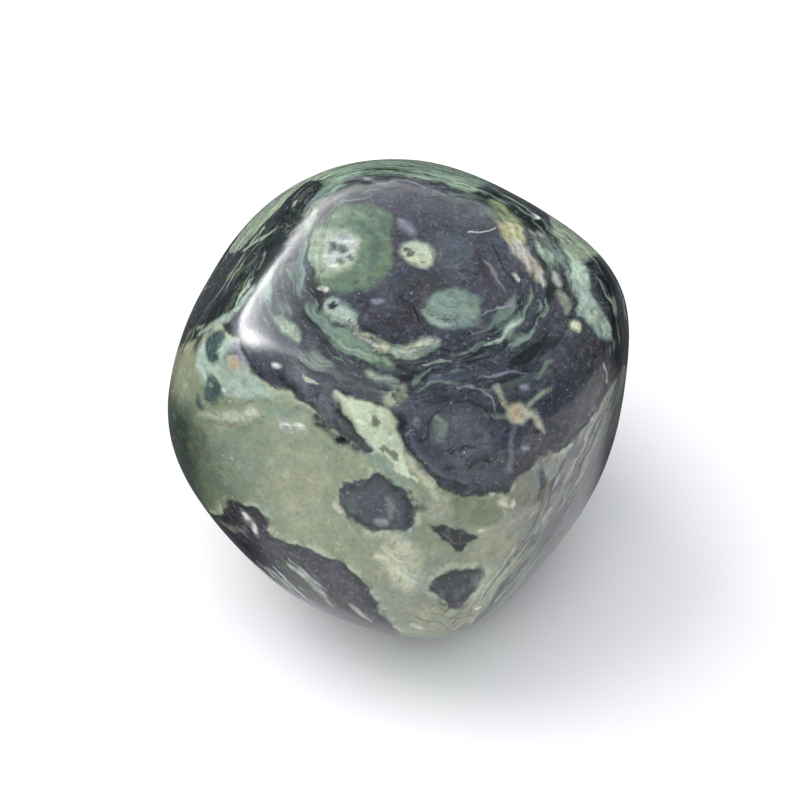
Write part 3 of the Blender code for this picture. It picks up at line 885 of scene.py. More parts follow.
# Distances in mm: within reach a mark touches what is under it, within overlap it also covers a
# nearer mark of its layer, and past threadReach a thread's width is left out. Lines' edges wander
# by a share of what areas' do.
stacking = {"reach": 0.42, "overlap": 0.05, "threadReach": 0.5, "lineWander": 0.4}


# Lays marks over each other. A mark goes on the lowest layer over everything that it touches, so
# marks on one layer stay apart. Each layer keeps, at each vertex, the distance to its nearest mark's
# edge, and that mark's colour and cover. For threads the distance is to the middle line, with a
# sign for its side, and the half width is kept too.
def stackMarks(rays, points, marks, layerCount):
    layers = [{
        "Edge": np.full(len(rays), farAway), "Width": np.full(len(rays), -1.0), "Cover": np.ones(len(rays)),
        "Soft": np.ones(len(rays)), "Loose": np.ones(len(rays)), "Colour": np.zeros((len(rays), 3)),
        "nearest": np.full(len(rays), farAway)} for _ in range(layerCount)]
    top = np.full(len(rays), -1)
    for mark in marks:
        outline, scale = markRays(mark)
        curve = smoothRays(outline, mark["kind"])
        halfWidth = np.array(mark.get("halfWidth", ())) * scale
        width = None
        if mark["kind"] == "area":
            edge = areaDistance(rays, curve)
            gap = edge / mark["soft"]
        elif mark["kind"] == "line":
            edge = lineDistance(rays, points, curve, halfWidth)
            gap = edge / mark["soft"]
        else:
            edge, width = besidePath(rays, points, curve, halfWidth)
            gap = np.abs(edge)
            width = np.where(gap < stacking["threadReach"], width, -1.0)
        touched = gap < stacking["reach"]
        level = min(int(top[touched].max()) + 1, layerCount - 1) if touched.any() else 0
        top[touched] = np.maximum(top[touched], level)
        layer = layers[level]
        nearer = (gap < layer["nearest"]) | (gap < stacking["overlap"])
        layer["nearest"][nearer] = gap[nearer]
        layer["Edge"][nearer] = edge[nearer]
        layer["Cover"][nearer] = mark["cover"]
        layer["Soft"][nearer] = mark["soft"]
        layer["Loose"][nearer] = 1.0 if mark["kind"] == "area" else stacking["lineWander"]
        layer["Colour"][nearer] = linearColour(mark["colour"])
        if width is not None:
            layer["Width"][nearer] = width[nearer]
    return layers


# Tint of the green rock at each vertex: the tints' mean, weighted by a bell curve of the angle.
def tintColour(rays):
    total = np.zeros((len(rays), 3))
    weight = np.full(len(rays), 1e-6)
    for name, azimuth, elevation, width in greenTints:
        angle = np.degrees(np.arccos(np.clip(rays @ towards(azimuth, elevation), -1.0, 1.0)))
        share = np.exp(-((angle / width) ** 2)) + 1e-7
        total += share[:, None] * linearColour(name)
        weight += share
    return total / weight[:, None]


# The fields of one slot of flows: at each vertex those of the flow that shows there most. Turns is
# the distance across the flow over its spacing, and Edge the distance to where it ends over its fade.
def flowFields(rays, points, flows):
    slot = {
        "Turns": np.zeros(len(rays)), "Edge": np.full(len(rays), farAway), "Grain": np.zeros(len(rays)),
        "Strength": np.zeros((len(rays), 3)), "Dark": np.zeros((len(rays), 3)), "Pale": np.zeros((len(rays), 3))}
    for flow in flows:
        outline, _ = markRays(flow["guide"])
        if flow["guide"].get("closed"):
            across = areaDistance(rays, smoothRays(outline, "area"))
        else:
            across, _ = besidePath(rays, points, smoothRays(outline, "thread"), np.ones(2), everywhere=True)
        if "band" in flow:
            low, high = flow["band"]
            edge = np.abs(across - (low + high) / 2) - (high - low) / 2
        else:
            edge = np.full(len(rays), farAway)
            for place in flow["areas"]:
                edge = np.minimum(edge, areaDistance(rays, smoothRays(markRays(place)[0], "area")))
        edge = edge / flow["fade"]
        shows = edge < slot["Edge"]
        slot["Turns"][shows] = across[shows] / flow["spacing"]
        slot["Edge"][shows] = edge[shows]
        slot["Strength"][shows] = (flow["dark"][1], flow["pale"][1], flow["cover"])
        slot["Dark"][shows] = linearColour(flow["dark"][0])
        slot["Pale"][shows] = linearColour(flow["pale"][0])
        slot["Grain"][shows] = flow["grain"]
    return slot


def keepField(mesh, name, values):
    kind, kept = ("FLOAT", "value") if values.ndim == 1 else ("FLOAT_VECTOR", "vector")
    mesh.attributes.new(name, kind, "POINT").data.foreach_set(kept, values.astype(np.float32).ravel())


# How the marks' outlines wander, as the rock's do: the lengths of two random fields and their
# reach in mm, the second one's share, and their seeds.
outlineWander = {"lengths": (1.5, 0.7), "fineShare": 0.5, "reach": 0.09, "seeds": (40, 50)}


def buildStone():
    rays, quads = sphereGrid(stoneShape["gridSteps"])
    smooth = rays * wornRadius(rays)[:, None]
    print("stone grid:", len(rays), "vertices,", len(quads), "quads")

    lowest = smooth[:, 2].min() + stoneShape["flatDepth"]
    middle = (smooth.min(axis=0) + smooth.max(axis=0)) / 2
    offset = np.array([-middle[0], -middle[1], -lowest])
    points = rays * (wornRadius(rays) - wearDepth(rays, smooth))[:, None]
    rim = np.maximum(stoneShape["flatRim"] - np.abs(points[:, 2] - lowest), 0.0) / stoneShape["flatRim"]
    points[:, 2] = np.maximum(points[:, 2], lowest) + rim ** 2 * stoneShape["flatRim"] / 4

    mesh = bpy.data.meshes.new("jasperPebble")
    mesh.vertices.add(len(points))
    mesh.vertices.foreach_set("co", ((points + offset) * metresPerMm).astype(np.float32).ravel())
    mesh.loops.add(quads.size)
    mesh.loops.foreach_set("vertex_index", quads.astype(np.int32).ravel())
    mesh.polygons.add(len(quads))
    mesh.polygons.foreach_set("loop_start", np.arange(0, quads.size, 4, dtype=np.int32))
    mesh.update(calc_edges=True)
    mesh.validate()
    mesh.shade_smooth()

    (length, fineLength), (seed, fineSeed) = outlineWander["lengths"], outlineWander["seeds"]
    wander = np.stack([
        ripples(smooth, length, seed + k) + outlineWander["fineShare"] * ripples(smooth, fineLength, fineSeed + k)
        for k in range(3)], axis=1)
    drifted = unit(smooth + outlineWander["reach"] * wander)
    driftedPoints = drifted * wornRadius(drifted)[:, None]
    orbDiscs, orbPatches, orbThreads = orbMarks()
    scrapPatches, scrapThreads = scrapMarks()
    stacks = {
        "darkRock": darkRock + orbDiscs,
        "under": broadStainsAndPaintedLight + darkEdges,
        "over": greenPatches + orbPatches + smallDots + scrapPatches,
        "threads": fineThreads + orbThreads + scrapThreads,
    }
    for name, marks in stacks.items():
        own = ("Width",) if name == "threads" else ("Soft", "Loose")
        for k, layer in enumerate(stackMarks(drifted, driftedPoints, marks, layerCounts[name])):
            for field in ("Edge", "Colour", "Cover", *own):
                keepField(mesh, name + str(k) + field, layer[field])
        print("marks laid:", name, len(marks))
    for k in range(2):
        flows = [flow for flow in flowBands.values() if flow["slot"] == k]
        for field, values in flowFields(drifted, driftedPoints, flows).items():
            keepField(mesh, "flows" + str(k) + field, values)
    keepField(mesh, "greenTint", tintColour(rays))

    stone = bpy.data.objects.new("jasperPebble", mesh)
    bpy.context.scene.collection.objects.link(stone)
    return stone, offset * metresPerMm


def addNode(tree, kind, inputs=None, **settings):
    made = tree.nodes.new(kind)
    for name, value in settings.items():
        setattr(made, name, value)
    for name, value in (inputs or {}).items():
        if isinstance(value, bpy.types.NodeSocket):
            tree.links.new(value, made.inputs[name])
        else:
            made.inputs[name].default_value = value
    return made


def newGroup(name, inputs, outputs):
    group = bpy.data.node_groups.new(name, "ShaderNodeTree")
    for label, kind in inputs:
        group.interface.new_socket(name=label, in_out="INPUT", socket_type="NodeSocket" + kind)
    for label, kind in outputs:
        group.interface.new_socket(name=label, in_out="OUTPUT", socket_type="NodeSocket" + kind)
    return group, addNode(group, "NodeGroupInput").outputs, addNode(group, "NodeGroupOutput").inputs


def newMaterial(name, values):
    material = bpy.data.materials.new(name)
    material.use_nodes = True
    surface = material.node_tree.nodes["Principled BSDF"]
    for label, value in values.items():
        surface.inputs[label].default_value = value
    return material, material.node_tree, surface


def maths(tree, operation, first, second=0.0, third=0.0):
    return addNode(tree, "ShaderNodeMath", {0: first, 1: second, 2: third}, operation=operation).outputs[0]


def mixed(tree, share, under, over):
    return addNode(tree, "ShaderNodeMix", {0: share, 6: under, 7: over}, data_type="RGBA").outputs[2]


def scaled(tree, vector, factor):
    return addNode(tree, "ShaderNodeVectorMath", {0: vector, "Scale": factor}, operation="SCALE").outputs[0]


# 0 at low, 1 at high, and an S curve between them; low may be the greater one.
def ramp(tree, value, low, high):
    return addNode(tree, "ShaderNodeMapRange", {
        "Value": value, "From Min": low, "From Max": high}, interpolation_type="SMOOTHSTEP").outputs["Result"]


def noise(tree, position, size, detail=2.0, roughness=0.5, distortion=0.0, fourth=None):
    scale = maths(tree, "DIVIDE", 1.0, size) if isinstance(size, bpy.types.NodeSocket) else 1.0 / size
    inputs = {"Vector": position, "Scale": scale, "Detail": detail, "Roughness": roughness, "Distortion": distortion}
    if fourth is None:
        return addNode(tree, "ShaderNodeTexNoise", inputs).outputs["Fac"]
    return addNode(tree, "ShaderNodeTexNoise", {**inputs, "W": fourth}, noise_dimensions="4D").outputs["Fac"]


# Lays one layer of marks over what is under it. The edge is the stored distance moved in and out
# by the wander, the cloud lightens and darkens the colour, and the mark is thin where worn is high.
def laidMarksGroup():
    group, given, result = newGroup("laidMarks", [
        ("Under", "Color"), ("Edge", "Float"), ("Colour", "Color"), ("Cover", "Float"), ("Softness", "Float"),
        ("Wander", "Float"), ("Cloud", "Float"), ("Worn", "Float")],
        [("Colour", "Color"), ("Mask", "Float"), ("Depth", "Float")])
    edge = maths(group, "ADD", given["Wander"], given["Edge"])
    mask = ramp(group, maths(group, "DIVIDE", edge, given["Softness"]), 1.0, -1.0)
    shaded = scaled(group, given["Colour"], given["Cloud"])
    kept = maths(group, "MAXIMUM", maths(group, "SUBTRACT", given["Cover"], given["Worn"]), 0.0)
    group.links.new(mixed(group, maths(group, "MULTIPLY", kept, mask), given["Under"], shaded), result["Colour"])
    group.links.new(mask, result["Mask"])
    group.links.new(maths(group, "MULTIPLY", edge, -1.0), result["Depth"])
    return group


threadCore = 0.6  # a thread is solid from this many softnesses inside its edge


# Lays one layer of threads: where the distance to the middle line, moved by the wander, is less
# than the half width. A thread is thinner where the swell is low.
def laidThreadsGroup():
    group, given, result = newGroup("laidThreads", [
        ("Under", "Color"), ("Beside", "Float"), ("Width", "Float"), ("Colour", "Color"), ("Cover", "Float"),
        ("Softness", "Float"), ("Wander", "Float"), ("Swell", "Float")], [("Colour", "Color")])
    beside = maths(group, "ABSOLUTE", maths(group, "ADD", given["Wander"], given["Beside"]))
    width = maths(group, "MULTIPLY", given["Width"], given["Swell"])
    width = maths(group, "MINIMUM", width, given["Width"])
    edge = maths(group, "DIVIDE", maths(group, "SUBTRACT", beside, width), given["Softness"])
    mask = maths(group, "MULTIPLY", ramp(group, edge, 1.0, -threadCore), given["Cover"])
    group.links.new(mixed(group, mask, given["Under"], given["Colour"]), result["Colour"])
    return group


# Noise is (detail, roughness). A band begins and is full at these levels past its strength. The
# pale bands are the same noise elsewhere, and ragged is how far the flow's edge wanders.
bandLook = {
    "noise": (2.0, 0.6), "grainNoise": (2.0, 0.65), "grainTurns": 2.6, "paleShift": 57.0, "ragged": 1.6,
    "darkEdge": (-0.03, 0.07), "paleEdge": (-0.02, 0.06),
}


# Fine bands alongside a guide line: noise in four dimensions, slow over the surface and fast in
# the turns across the flow. Grain is the same again, finer, for lightness.
def flowBandsGroup():
    group, given, result = newGroup("flowBands", [
        ("Position", "Vector"), ("Under", "Color"), ("Turns", "Float"), ("Edge", "Float"), ("Strength", "Vector"),
        ("Dark", "Color"), ("Pale", "Color"), ("Length", "Float"), ("Wobble", "Float"), ("Wander", "Float")],
        [("Colour", "Color"), ("Grain", "Float")])
    strength = addNode(group, "ShaderNodeSeparateXYZ", {0: given["Strength"]}).outputs
    turns = maths(group, "MULTIPLY_ADD", given["Wander"], given["Wobble"], given["Turns"])
    shifted = maths(group, "ADD", turns, bandLook["paleShift"])
    faster = maths(group, "MULTIPLY", turns, bandLook["grainTurns"])
    first = noise(group, given["Position"], given["Length"], *bandLook["noise"], fourth=turns)
    second = noise(group, given["Position"], given["Length"], *bandLook["noise"], fourth=shifted)
    finer = noise(group, given["Position"], given["Length"], *bandLook["grainNoise"], fourth=faster)
    edge = maths(group, "MULTIPLY_ADD", given["Wander"], bandLook["ragged"], given["Edge"])
    shows = maths(group, "MULTIPLY", ramp(group, edge, 1.0, -1.0), strength["Z"])
    dark = ramp(group, maths(group, "SUBTRACT", first, strength["X"]), *bandLook["darkEdge"])
    pale = ramp(group, maths(group, "SUBTRACT", second, strength["Y"]), *bandLook["paleEdge"])
    banded = mixed(group, maths(group, "MULTIPLY", dark, shows), given["Under"], given["Dark"])
    banded = mixed(group, maths(group, "MULTIPLY", pale, shows), banded, given["Pale"])
    group.links.new(banded, result["Colour"])
    group.links.new(maths(group, "MULTIPLY", maths(group, "SUBTRACT", finer, 0.5), shows), result["Grain"])
    return group


# Noise is (detail, roughness, distortion). Hairlines show where a second noise, placeSize times
# their size, is more than from less perShare times their share, and fade in over edge.
hairlineLook = {"noise": (2.0, 0.5, 1.2), "placeSize": 0.8, "from": 0.75, "perShare": 0.5, "edge": 0.1}


# Hairlines: where clouds of noise cross their middle value, kept to a share of the surface.
def hairlinesGroup():
    group, given, result = newGroup("hairlines", [
        ("Position", "Vector"), ("Size", "Float"), ("Width", "Float"), ("Share", "Float")], [("Mask", "Float")])
    clouds = noise(group, given["Position"], given["Size"], *hairlineLook["noise"])
    height = maths(group, "ABSOLUTE", maths(group, "SUBTRACT", clouds, 0.5))
    crossing = ramp(group, height, given["Width"], 0.0)
    place = noise(group, given["Position"], maths(group, "MULTIPLY", given["Size"], hairlineLook["placeSize"]))
    lowered = maths(group, "MULTIPLY", given["Share"], hairlineLook["perShare"])
    least = maths(group, "SUBTRACT", hairlineLook["from"], lowered)
    kept = ramp(group, maths(group, "SUBTRACT", place, least), 0.0, hairlineLook["edge"])
    group.links.new(maths(group, "MULTIPLY", crossing, kept), result["Mask"])
    return group


grainCore = 0.3  # how much of a grain's radius is solid


# Scattered grains: one small disc in some of the cells of a Voronoi pattern.
def grainsGroup():
    group, given, result = newGroup("scatteredGrains", [
        ("Position", "Vector"), ("Cell Size", "Float"), ("Radius", "Float"), ("Share", "Float")], [("Mask", "Float")])
    scale = maths(group, "DIVIDE", 1.0, given["Cell Size"])
    cells = addNode(group, "ShaderNodeTexVoronoi", {"Vector": given["Position"], "Scale": scale}).outputs
    reach = maths(group, "DIVIDE", given["Radius"], given["Cell Size"])
    disc = ramp(group, cells["Distance"], reach, maths(group, "MULTIPLY", reach, grainCore))
    lot = addNode(group, "ShaderNodeSeparateColor", {0: cells["Color"]}).outputs[0]
    chosen = maths(group, "LESS_THAN", lot, given["Share"])
    group.links.new(maths(group, "MULTIPLY", disc, chosen), result["Mask"])
    return group


# What a user would change in the stone's surface. Sizes, widths, depths and reaches are in mm.
# Clouds are noise: (size, detail, roughness, distortion). A stain is (colour, share, size, where it
# begins, where it is full, distortion), with the detail and roughness of stainNoise, a hairline
# (colour, share, size, width, how often), and a grain (colour, share, cell size, radius, how often).
jasperLook = {
    "roughness": (0.12, 0.22), "roughClouds": (1.1, 4.0, 0.6), "roughBetween": (0.35, 0.7),
    "refraction": 1.54,
    "bumpDepth": 0.010, "bumps": (0.9, 3.0, 0.55), "fineBumps": (0.22, 3.0, 0.6), "fineBumpShare": 0.25,
    "greenTone": 0.84, "greenCloud": 0.6, "greenClouds": (2.6, 5.0, 0.62, 0.8),
    "stainNoise": (4.0, 0.62),
    "greenStains": [("straw", 0.5, 1.7, 0.0, 0.20, 0.8), ("deepSage", 0.5, 1.2, 0.04, 0.20, 0.8)],
    "greenHairlines": [("olive", 0.45, 1.9, 0.012, 0.5), ("cream", 0.35, 1.1, 0.02, 0.45)],
    "greenGrains": [("dusk", 0.5, 0.62, 0.15, 0.35), ("cream", 0.5, 0.48, 0.12, 0.22)],
    "darkStains": [
        ("mauve", 0.7, 1.5, -0.02, 0.14, 0.8), ("pitch", 0.7, 0.95, 0.04, 0.18, 0.8),
        ("haze", 0.5, 0.5, 0.05, 0.22, 1.0), ("fog", 0.40, 0.26, 0.03, 0.18, 0.8)],
    "darkHairlines": [("fog", 0.5, 1.5, 0.014, 0.5), ("ink", 0.5, 0.8, 0.02, 0.4)],
    "darkGrains": [("fog", 0.55, 0.36, 0.10, 0.35), ("pearl", 0.8, 0.7, 0.10, 0.14)],
    # at the edge of the dark rock: (colour, share, depths inside the edge), broken up by noise
    "rim": ("ink", 0.85, 0.75, 0.20), "halo": ("lime", 0.35, -0.60, -0.14), "broken": (-0.08, 0.06),
    # how marks' edges wander, their clouds, and where they are worn thin
    "coarseWander": (0.9, 3.0, 0.6), "fineWander": (0.24, 3.0, 0.6), "fineWanderShare": 0.45,
    "markClouds": (0.7, 4.0, 0.65, 0.5), "wearClouds": (0.42, 4.0, 0.62, 0.6), "wornBetween": (0.0, 0.18),
    # for each stack of marks: edge softness, wander of the edge, strength of its clouds, wear
    "darkRock": (0.12, 0.42, 0.9, 0.0),
    "under": (0.10, 0.38, 0.8, 0.35),
    "over": (0.10, 0.36, 1.0, 0.5),
    "threadSoftness": 0.08, "threadWander": 0.09,
    "threadClouds": (0.6, 2.0, 0.5), "threadBetween": (-0.18, 0.08), "threadWidths": (0.20, 0.85),
    "flowLength": 3.6, "flowWobble": 2.4, "flowGrain": 4.0,
    # grains over everything: (clouds, strength), and the darkest that they make the stone
    "grains": [((0.26, 4.0, 0.7), 0.80), ((0.9, 4.0, 0.7), 0.80)], "darkest": 0.25,
    # how far the hue drifts from blue green to yellow green, as red, green and blue
    "warmthClouds": (1.4, 4.0, 0.6, 0.6), "warmth": 0.20, "warmHue": (1.3, 0.3, -2.2),
}


def jasperMaterial():
    material, tree, surface = newMaterial("polishedJasper", {"IOR": jasperLook["refraction"], "Metallic": 0.0})
    groups = {
        "laidMarks": laidMarksGroup(), "laidThreads": laidThreadsGroup(), "flowBands": flowBandsGroup(),
        "hairlines": hairlinesGroup(), "scatteredGrains": grainsGroup()}
    coordinates = addNode(tree, "ShaderNodeTexCoord").outputs["Object"]
    position = scaled(tree, coordinates, 1 / metresPerMm)

    def attribute(name, output="Fac"):
        return addNode(tree, "ShaderNodeAttribute", attribute_name=name).outputs[output]

    def placed(group, inputs):
        return addNode(tree, "ShaderNodeGroup", inputs, node_tree=groups[group]).outputs

    def plain(name):
        return (*linearColour(name), 1.0)

    def part(share, value):
        return maths(tree, "MULTIPLY", value, share)

    # noise about 0
    def clouds(look):
        return maths(tree, "SUBTRACT", noise(tree, position, *look), 0.5)

    # a rock's stains, hairlines and grains laid over its colour
    def figured(rock, colour):
        for name, share, size, low, high, distortion in jasperLook[rock + "Stains"]:
            mask = ramp(tree, clouds((size, *jasperLook["stainNoise"], distortion)), low, high)
            colour = mixed(tree, part(share, mask), colour, plain(name))
        for name, share, size, width, often in jasperLook[rock + "Hairlines"]:
            made = placed("hairlines", {"Position": position, "Size": size, "Width": width, "Share": often})
            colour = mixed(tree, part(share, made["Mask"]), colour, plain(name))
        for name, share, cellSize, radius, often in jasperLook[rock + "Grains"]:
            made = placed("scatteredGrains", {
                "Position": position, "Cell Size": cellSize, "Radius": radius, "Share": often})
            colour = mixed(tree, part(share, made["Mask"]), colour, plain(name))
        return colour

    # what every layer of marks shares: how its edges wander, its clouds, and where it is worn thin
    coarse = clouds(jasperLook["coarseWander"])
    wander = maths(tree, "MULTIPLY_ADD", clouds(jasperLook["fineWander"]), jasperLook["fineWanderShare"], coarse)
    cloudy = clouds(jasperLook["markClouds"])
    worn = ramp(tree, clouds(jasperLook["wearClouds"]), *jasperLook["wornBetween"])

    def stacked(name, under):
        softness, wanders, clouding, wearing = jasperLook[name]
        wandering = part(wanders, wander)
        shared = {"Worn": part(wearing, worn), "Cloud": maths(tree, "MULTIPLY_ADD", cloudy, clouding, 1.0)}
        for k in range(layerCounts[name]):
            layer = name + str(k)
            made = placed("laidMarks", {
                "Under": under, "Edge": attribute(layer + "Edge"), "Cover": attribute(layer + "Cover"),
                "Colour": attribute(layer + "Colour", "Vector"),
                "Softness": part(softness, attribute(layer + "Soft")),
                "Wander": maths(tree, "MULTIPLY", wandering, attribute(layer + "Loose")), **shared})
            under = made["Colour"]
        return made

    # green rock: its tint, clouded, with straw and darker stains, hairlines and grains
    cloud = clouds(jasperLook["greenClouds"])
    tone = maths(tree, "MULTIPLY_ADD", cloud, jasperLook["greenCloud"], jasperLook["greenTone"])
    green = figured("green", scaled(tree, attribute("greenTint", "Vector"), tone))

    # dark rock, with its own marks: stained violet, near black and blue grey, with wisps and grains
    laid = stacked("darkRock", green)
    inDark, depth = laid["Mask"], laid["Depth"]
    # the under stack: broad stains and dark edges, with painted shade and painted reflections among the stains
    colour = stacked("under", laid["Colour"])["Colour"]
    dark = figured("dark", colour)
    # a near black rim where the dark rock meets the green, and a paler halo beyond it
    broken = ramp(tree, coarse, *jasperLook["broken"])
    name, share, inner, outer = jasperLook["rim"]
    rim = maths(tree, "MULTIPLY", ramp(tree, depth, inner, outer), broken)
    colour = mixed(tree, inDark, colour, mixed(tree, part(share, rim), dark, plain(name)))
    name, share, outer, inner = jasperLook["halo"]
    halo = maths(tree, "MULTIPLY", ramp(tree, depth, outer, inner), maths(tree, "SUBTRACT", 1.0, inDark))
    colour = mixed(tree, part(share, maths(tree, "MULTIPLY", halo, broken)), colour, plain(name))

    grain = 0.0
    for k in range(2):
        slot = "flows" + str(k)
        made = placed("flowBands", {
            "Position": position, "Under": colour, "Wander": coarse,
            "Turns": attribute(slot + "Turns"), "Edge": attribute(slot + "Edge"),
            "Strength": attribute(slot + "Strength", "Vector"), "Dark": attribute(slot + "Dark", "Vector"),
            "Pale": attribute(slot + "Pale", "Vector"), "Length": jasperLook["flowLength"],
            "Wobble": jasperLook["flowWobble"]})
        colour = made["Colour"]
        flowGrain = maths(tree, "MULTIPLY", made["Grain"], attribute(slot + "Grain"))
        grain = maths(tree, "MULTIPLY_ADD", flowGrain, jasperLook["flowGrain"], grain)
    # the over stack: patches and dots, with a few painted glints among them
    colour = stacked("over", colour)["Colour"]
    thinnest, widest = jasperLook["threadWidths"]
    swell = ramp(tree, clouds(jasperLook["threadClouds"]), *jasperLook["threadBetween"])
    swell = maths(tree, "MULTIPLY_ADD", swell, widest - thinnest, thinnest)
    # the threads, with a few painted highlights among them
    for k in range(layerCounts["threads"]):
        layer = "threads" + str(k)
        colour = placed("laidThreads", {
            "Under": colour, "Beside": attribute(layer + "Edge"), "Width": attribute(layer + "Width"),
            "Colour": attribute(layer + "Colour", "Vector"), "Cover": attribute(layer + "Cover"),
            "Softness": jasperLook["threadSoftness"], "Wander": part(jasperLook["threadWander"], wander),
            "Swell": swell})["Colour"]

    # a grain over everything, and along the flows
    for look, strength in jasperLook["grains"]:
        grain = maths(tree, "MULTIPLY_ADD", clouds(look), strength, grain)
    gain = maths(tree, "MAXIMUM", maths(tree, "ADD", grain, 1.0), jasperLook["darkest"])
    warmth = part(jasperLook["warmth"], clouds(jasperLook["warmthClouds"]))
    hue = addNode(tree, "ShaderNodeCombineXYZ", {
        k: maths(tree, "MULTIPLY_ADD", warmth, drift, 1.0) for k, drift in enumerate(jasperLook["warmHue"])}).outputs[0]
    colour = addNode(tree, "ShaderNodeVectorMath", {0: colour, 1: hue}, operation="MULTIPLY").outputs[0]
    tree.links.new(scaled(tree, colour, gain), surface.inputs["Base Color"])

    (smoother, rougher), (low, high) = jasperLook["roughness"], jasperLook["roughBetween"]
    rough = addNode(tree, "ShaderNodeMapRange", {
        "Value": noise(tree, position, *jasperLook["roughClouds"]), "From Min": low, "From Max": high,
        "To Min": smoother, "To Max": rougher}).outputs["Result"]
    tree.links.new(rough, surface.inputs["Roughness"])
    bumps, fineBumps = (noise(tree, position, *jasperLook[name]) for name in ("bumps", "fineBumps"))
    height = maths(tree, "MULTIPLY_ADD", fineBumps, jasperLook["fineBumpShare"], bumps)
    bump = addNode(tree, "ShaderNodeBump", {
        "Height": height, "Distance": jasperLook["bumpDepth"] * metresPerMm, "Strength": 1.0})
    tree.links.new(bump.outputs["Normal"], surface.inputs["Normal"])
    return material


studio = {
    "backdrop": 0.97,                       # what the camera sees behind the floor
    "horizonLight": 0.10, "zenithLight": 1.35, "skyColour": (0.95, 0.97, 1.0),
    "skyBetween": (0.20, 0.90),             # upward part of a direction, where the light changes
    "floorColour": (0.86, 0.86, 0.87), "floorSize": 3.0, "floorRoughness": 0.75,
    # name, azimuth, elevation, distance in metres, width, height, radiance
    "softboxes": [
        ("overheadSoftbox", 152, 60, 0.70, 0.50, 0.30, 4.2),
        ("frontSoftbox", -112, 30, 0.75, 0.55, 0.40, 2.0),
        ("windowStrip", 150, 32, 0.60, 0.50, 0.09, 9.0),
    ],
}

# What the polish reflects: a dome of pale cloth, brightest round a long window behind and left.
# A glow is (azimuth, elevation, width along, width below, width above, radiance), widths in degrees.
# Apart from them the radiance is everywhere, times a share that rises with the elevation.
softDome = {
    "radius": 1.2, "lowest": -2, "steps": (144, 92),
    "everywhere": 0.26, "riseBetween": (9.6, 24.0), "shares": (0.1, 1.0),
    "glows": [
        (162, 31, 48, 6, 17, 9.0), (160, 29, 50, 3, 4, 13.0), (165, 62, 32, 34, 20, 3.0),
        (-157, 26, 15, 5, 8, 22.0), (-105, 24, 30, 12, 16, 1.1)],
}

# A black card that only reflections see, as round a polished stone in a studio: it lies on the
# floor round the back and left, turns up at its outer edge, and fades out at both ends. Degrees
# and mm; flatShare is how much of its grid lies flat.
blackCard = {
    "from": -12, "to": 236, "fade": 24, "inner": 11.0, "outer": 42.0, "rise": 26.0, "lift": 0.3,
    "cover": 0.96, "steps": (120, 30), "flatShare": 0.6, "black": 0.004,
}


def addReflected(name, mesh):
    made = bpy.data.objects.new(name, mesh)
    for ray in ("camera", "diffuse", "transmission", "volume_scatter", "shadow"):
        setattr(made, "visible_" + ray, False)
    bpy.context.scene.collection.objects.link(made)
    return made


# Surface in turn and reach: flat from inner to outer radius, then a quarter turn upwards.
def buildBlackCard(stoneMiddle):
    card = blackCard
    turn = np.linspace(card["from"], card["to"], card["steps"][0] + 1)
    reach = np.linspace(0.0, 1.0, card["steps"][1] + 1)
    flat = np.clip(reach / card["flatShare"], 0.0, 1.0)
    bend = np.clip((reach - card["flatShare"]) / (1 - card["flatShare"]), 0.0, 1.0) * math.pi / 2
    radius = card["inner"] + (card["outer"] - card["inner"]) * flat + card["rise"] * np.sin(bend)
    height = card["lift"] + card["rise"] * (1 - np.cos(bend))
    angle = np.radians(turn)[:, None]
    points = np.stack([np.cos(angle) * radius, np.sin(angle) * radius, np.tile(height, (len(turn), 1))], axis=-1)
    points = points.reshape(-1, 3) * metresPerMm
    points[:, :2] += stoneMiddle[:2]
    mesh = bpy.data.meshes.new("blackCard")
    mesh.from_pydata(points.tolist(), [], gridQuads(len(turn), len(reach)).tolist())
    ends = np.clip(np.minimum(turn - card["from"], card["to"] - turn) / card["fade"], 0.0, 1.0)
    keepField(mesh, "cover", np.repeat(card["cover"] * ends * ends * (3 - 2 * ends), len(reach)))
    black, tree, surface = newMaterial("blackVelvet", {"Base Color": (*[card["black"]] * 3, 1.0), "Roughness": 1.0})
    cover = addNode(tree, "ShaderNodeAttribute", attribute_name="cover").outputs["Fac"]
    tree.links.new(cover, surface.inputs["Alpha"])
    mesh.materials.append(black)
    cardObject = addReflected("blackCard", mesh)


# Radiance of the dome: the sum of bell curves of the angles along and up from each glow's middle.
def buildSoftDome(stoneMiddle):
    around, upwards = softDome["steps"]
    azimuths, elevations = (field.ravel() for field in np.meshgrid(
        np.linspace(0, 360, around, endpoint=False), np.linspace(softDome["lowest"], 90, upwards + 1), indexing="ij"))
    radiance = softDome["everywhere"] * np.interp(elevations, softDome["riseBetween"], softDome["shares"])
    for azimuth, elevation, along, below, above, strength in softDome["glows"]:
        beside = ((azimuths - azimuth + 180) % 360 - 180) * np.cos(np.radians(elevation))
        up = elevations - elevation
        radiance += strength * np.exp(-((beside / along) ** 2) - (up / np.where(up < 0, below, above)) ** 2)
    points = towards(azimuths, elevations) * softDome["radius"] + stoneMiddle
    inwards = gridQuads(around, upwards + 1, closed=True)[:, [0, 3, 2, 1]]
    mesh = bpy.data.meshes.new("softDome")
    mesh.from_pydata(points.tolist(), [], inwards.tolist())
    keepField(mesh, "radiance", radiance)
    cloth, tree, surface = newMaterial("glowingCloth", {
        "Base Color": (0.0, 0.0, 0.0, 1.0), "Specular IOR Level": 0.0, "Emission Color": (1.0, 1.0, 1.0, 1.0)})
    cloth.cycles.emission_sampling = "NONE"  # met by reflections alone, never aimed at
    glow = addNode(tree, "ShaderNodeAttribute", attribute_name="radiance").outputs["Fac"]
    tree.links.new(glow, surface.inputs["Emission Strength"])
    mesh.materials.append(cloth)
    dome = addReflected("softDome", mesh)


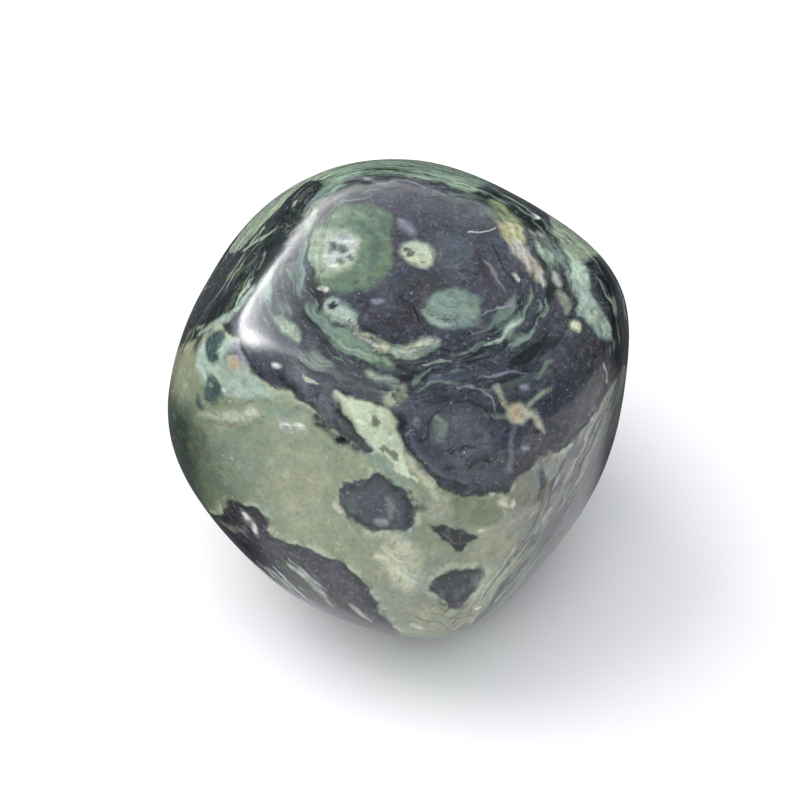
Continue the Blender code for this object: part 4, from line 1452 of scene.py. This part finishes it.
def buildStudio(stoneMiddle):
    scene = bpy.context.scene
    world = bpy.data.worlds.new("paleStudio")
    world.use_nodes = True
    tree = world.node_tree
    background = tree.nodes["Background"]
    background.inputs["Color"].default_value = (*studio["skyColour"], 1.0)
    upwards = addNode(tree, "ShaderNodeSeparateXYZ", {0: addNode(tree, "ShaderNodeTexCoord").outputs["Generated"]})
    low, high = studio["skyBetween"]
    sky = addNode(tree, "ShaderNodeMapRange", {
        "Value": upwards.outputs["Z"], "From Min": low, "From Max": high,
        "To Min": studio["horizonLight"], "To Max": studio["zenithLight"]}, interpolation_type="SMOOTHSTEP")
    seen = addNode(tree, "ShaderNodeLightPath").outputs["Is Camera Ray"]
    backdrop = addNode(tree, "ShaderNodeMix", {0: seen, 2: sky.outputs["Result"], 3: studio["backdrop"]})
    tree.links.new(backdrop.outputs[0], background.inputs["Strength"])
    scene.world = world

    half = studio["floorSize"] / 2
    mesh = bpy.data.meshes.new("studioFloor")
    mesh.from_pydata([(-half, -half, 0), (half, -half, 0), (half, half, 0), (-half, half, 0)], [], [(0, 1, 2, 3)])
    floor = bpy.data.objects.new("studioFloor", mesh)
    scene.collection.objects.link(floor)
    mesh.materials.append(newMaterial("paleFloor", {
        "Base Color": (*studio["floorColour"], 1.0), "Roughness": studio["floorRoughness"]})[0])

    for name, azimuth, elevation, distance, width, height, radiance in studio["softboxes"]:
        lamp = bpy.data.lights.new(name, "AREA")
        lamp.shape = "RECTANGLE"
        lamp.size = width
        lamp.size_y = height
        lamp.energy = radiance * math.pi * width * height
        box = bpy.data.objects.new(name, lamp)
        box.location = stoneMiddle + towards(azimuth, elevation) * distance
        box.rotation_euler = (math.radians(90 - elevation), 0, math.radians(azimuth + 90))
        box.visible_glossy = False
        scene.collection.objects.link(box)
    scene.view_settings.view_transform = "Standard"


def aimCamera(stoneMiddle):
    camera = bpy.data.objects.new("photoCamera", bpy.data.cameras.new("photoCamera"))
    camera.location = stoneMiddle + viewBack * photoView["distance"] * metresPerMm
    camera.rotation_euler = (math.pi / 2 - tilt, 0, 0)
    camera.data.sensor_width = photoView["sensorWidth"]
    camera.data.lens = photoView["sensorWidth"] * photoView["focal"] * photoView["zoom"] / photoView["size"]
    camera.data.clip_start = photoView["clipStart"]
    bpy.context.scene.collection.objects.link(camera)
    bpy.context.scene.camera = camera


stone, stoneMiddle = buildStone()
stone.data.materials.append(jasperMaterial())
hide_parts("tumbled_stone")
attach(stone, "root")
print("stone finished")

buildStudio(stoneMiddle)
buildSoftDome(stoneMiddle)
buildBlackCard(stoneMiddle)
aimCamera(stoneMiddle)
print("studio and camera placed")
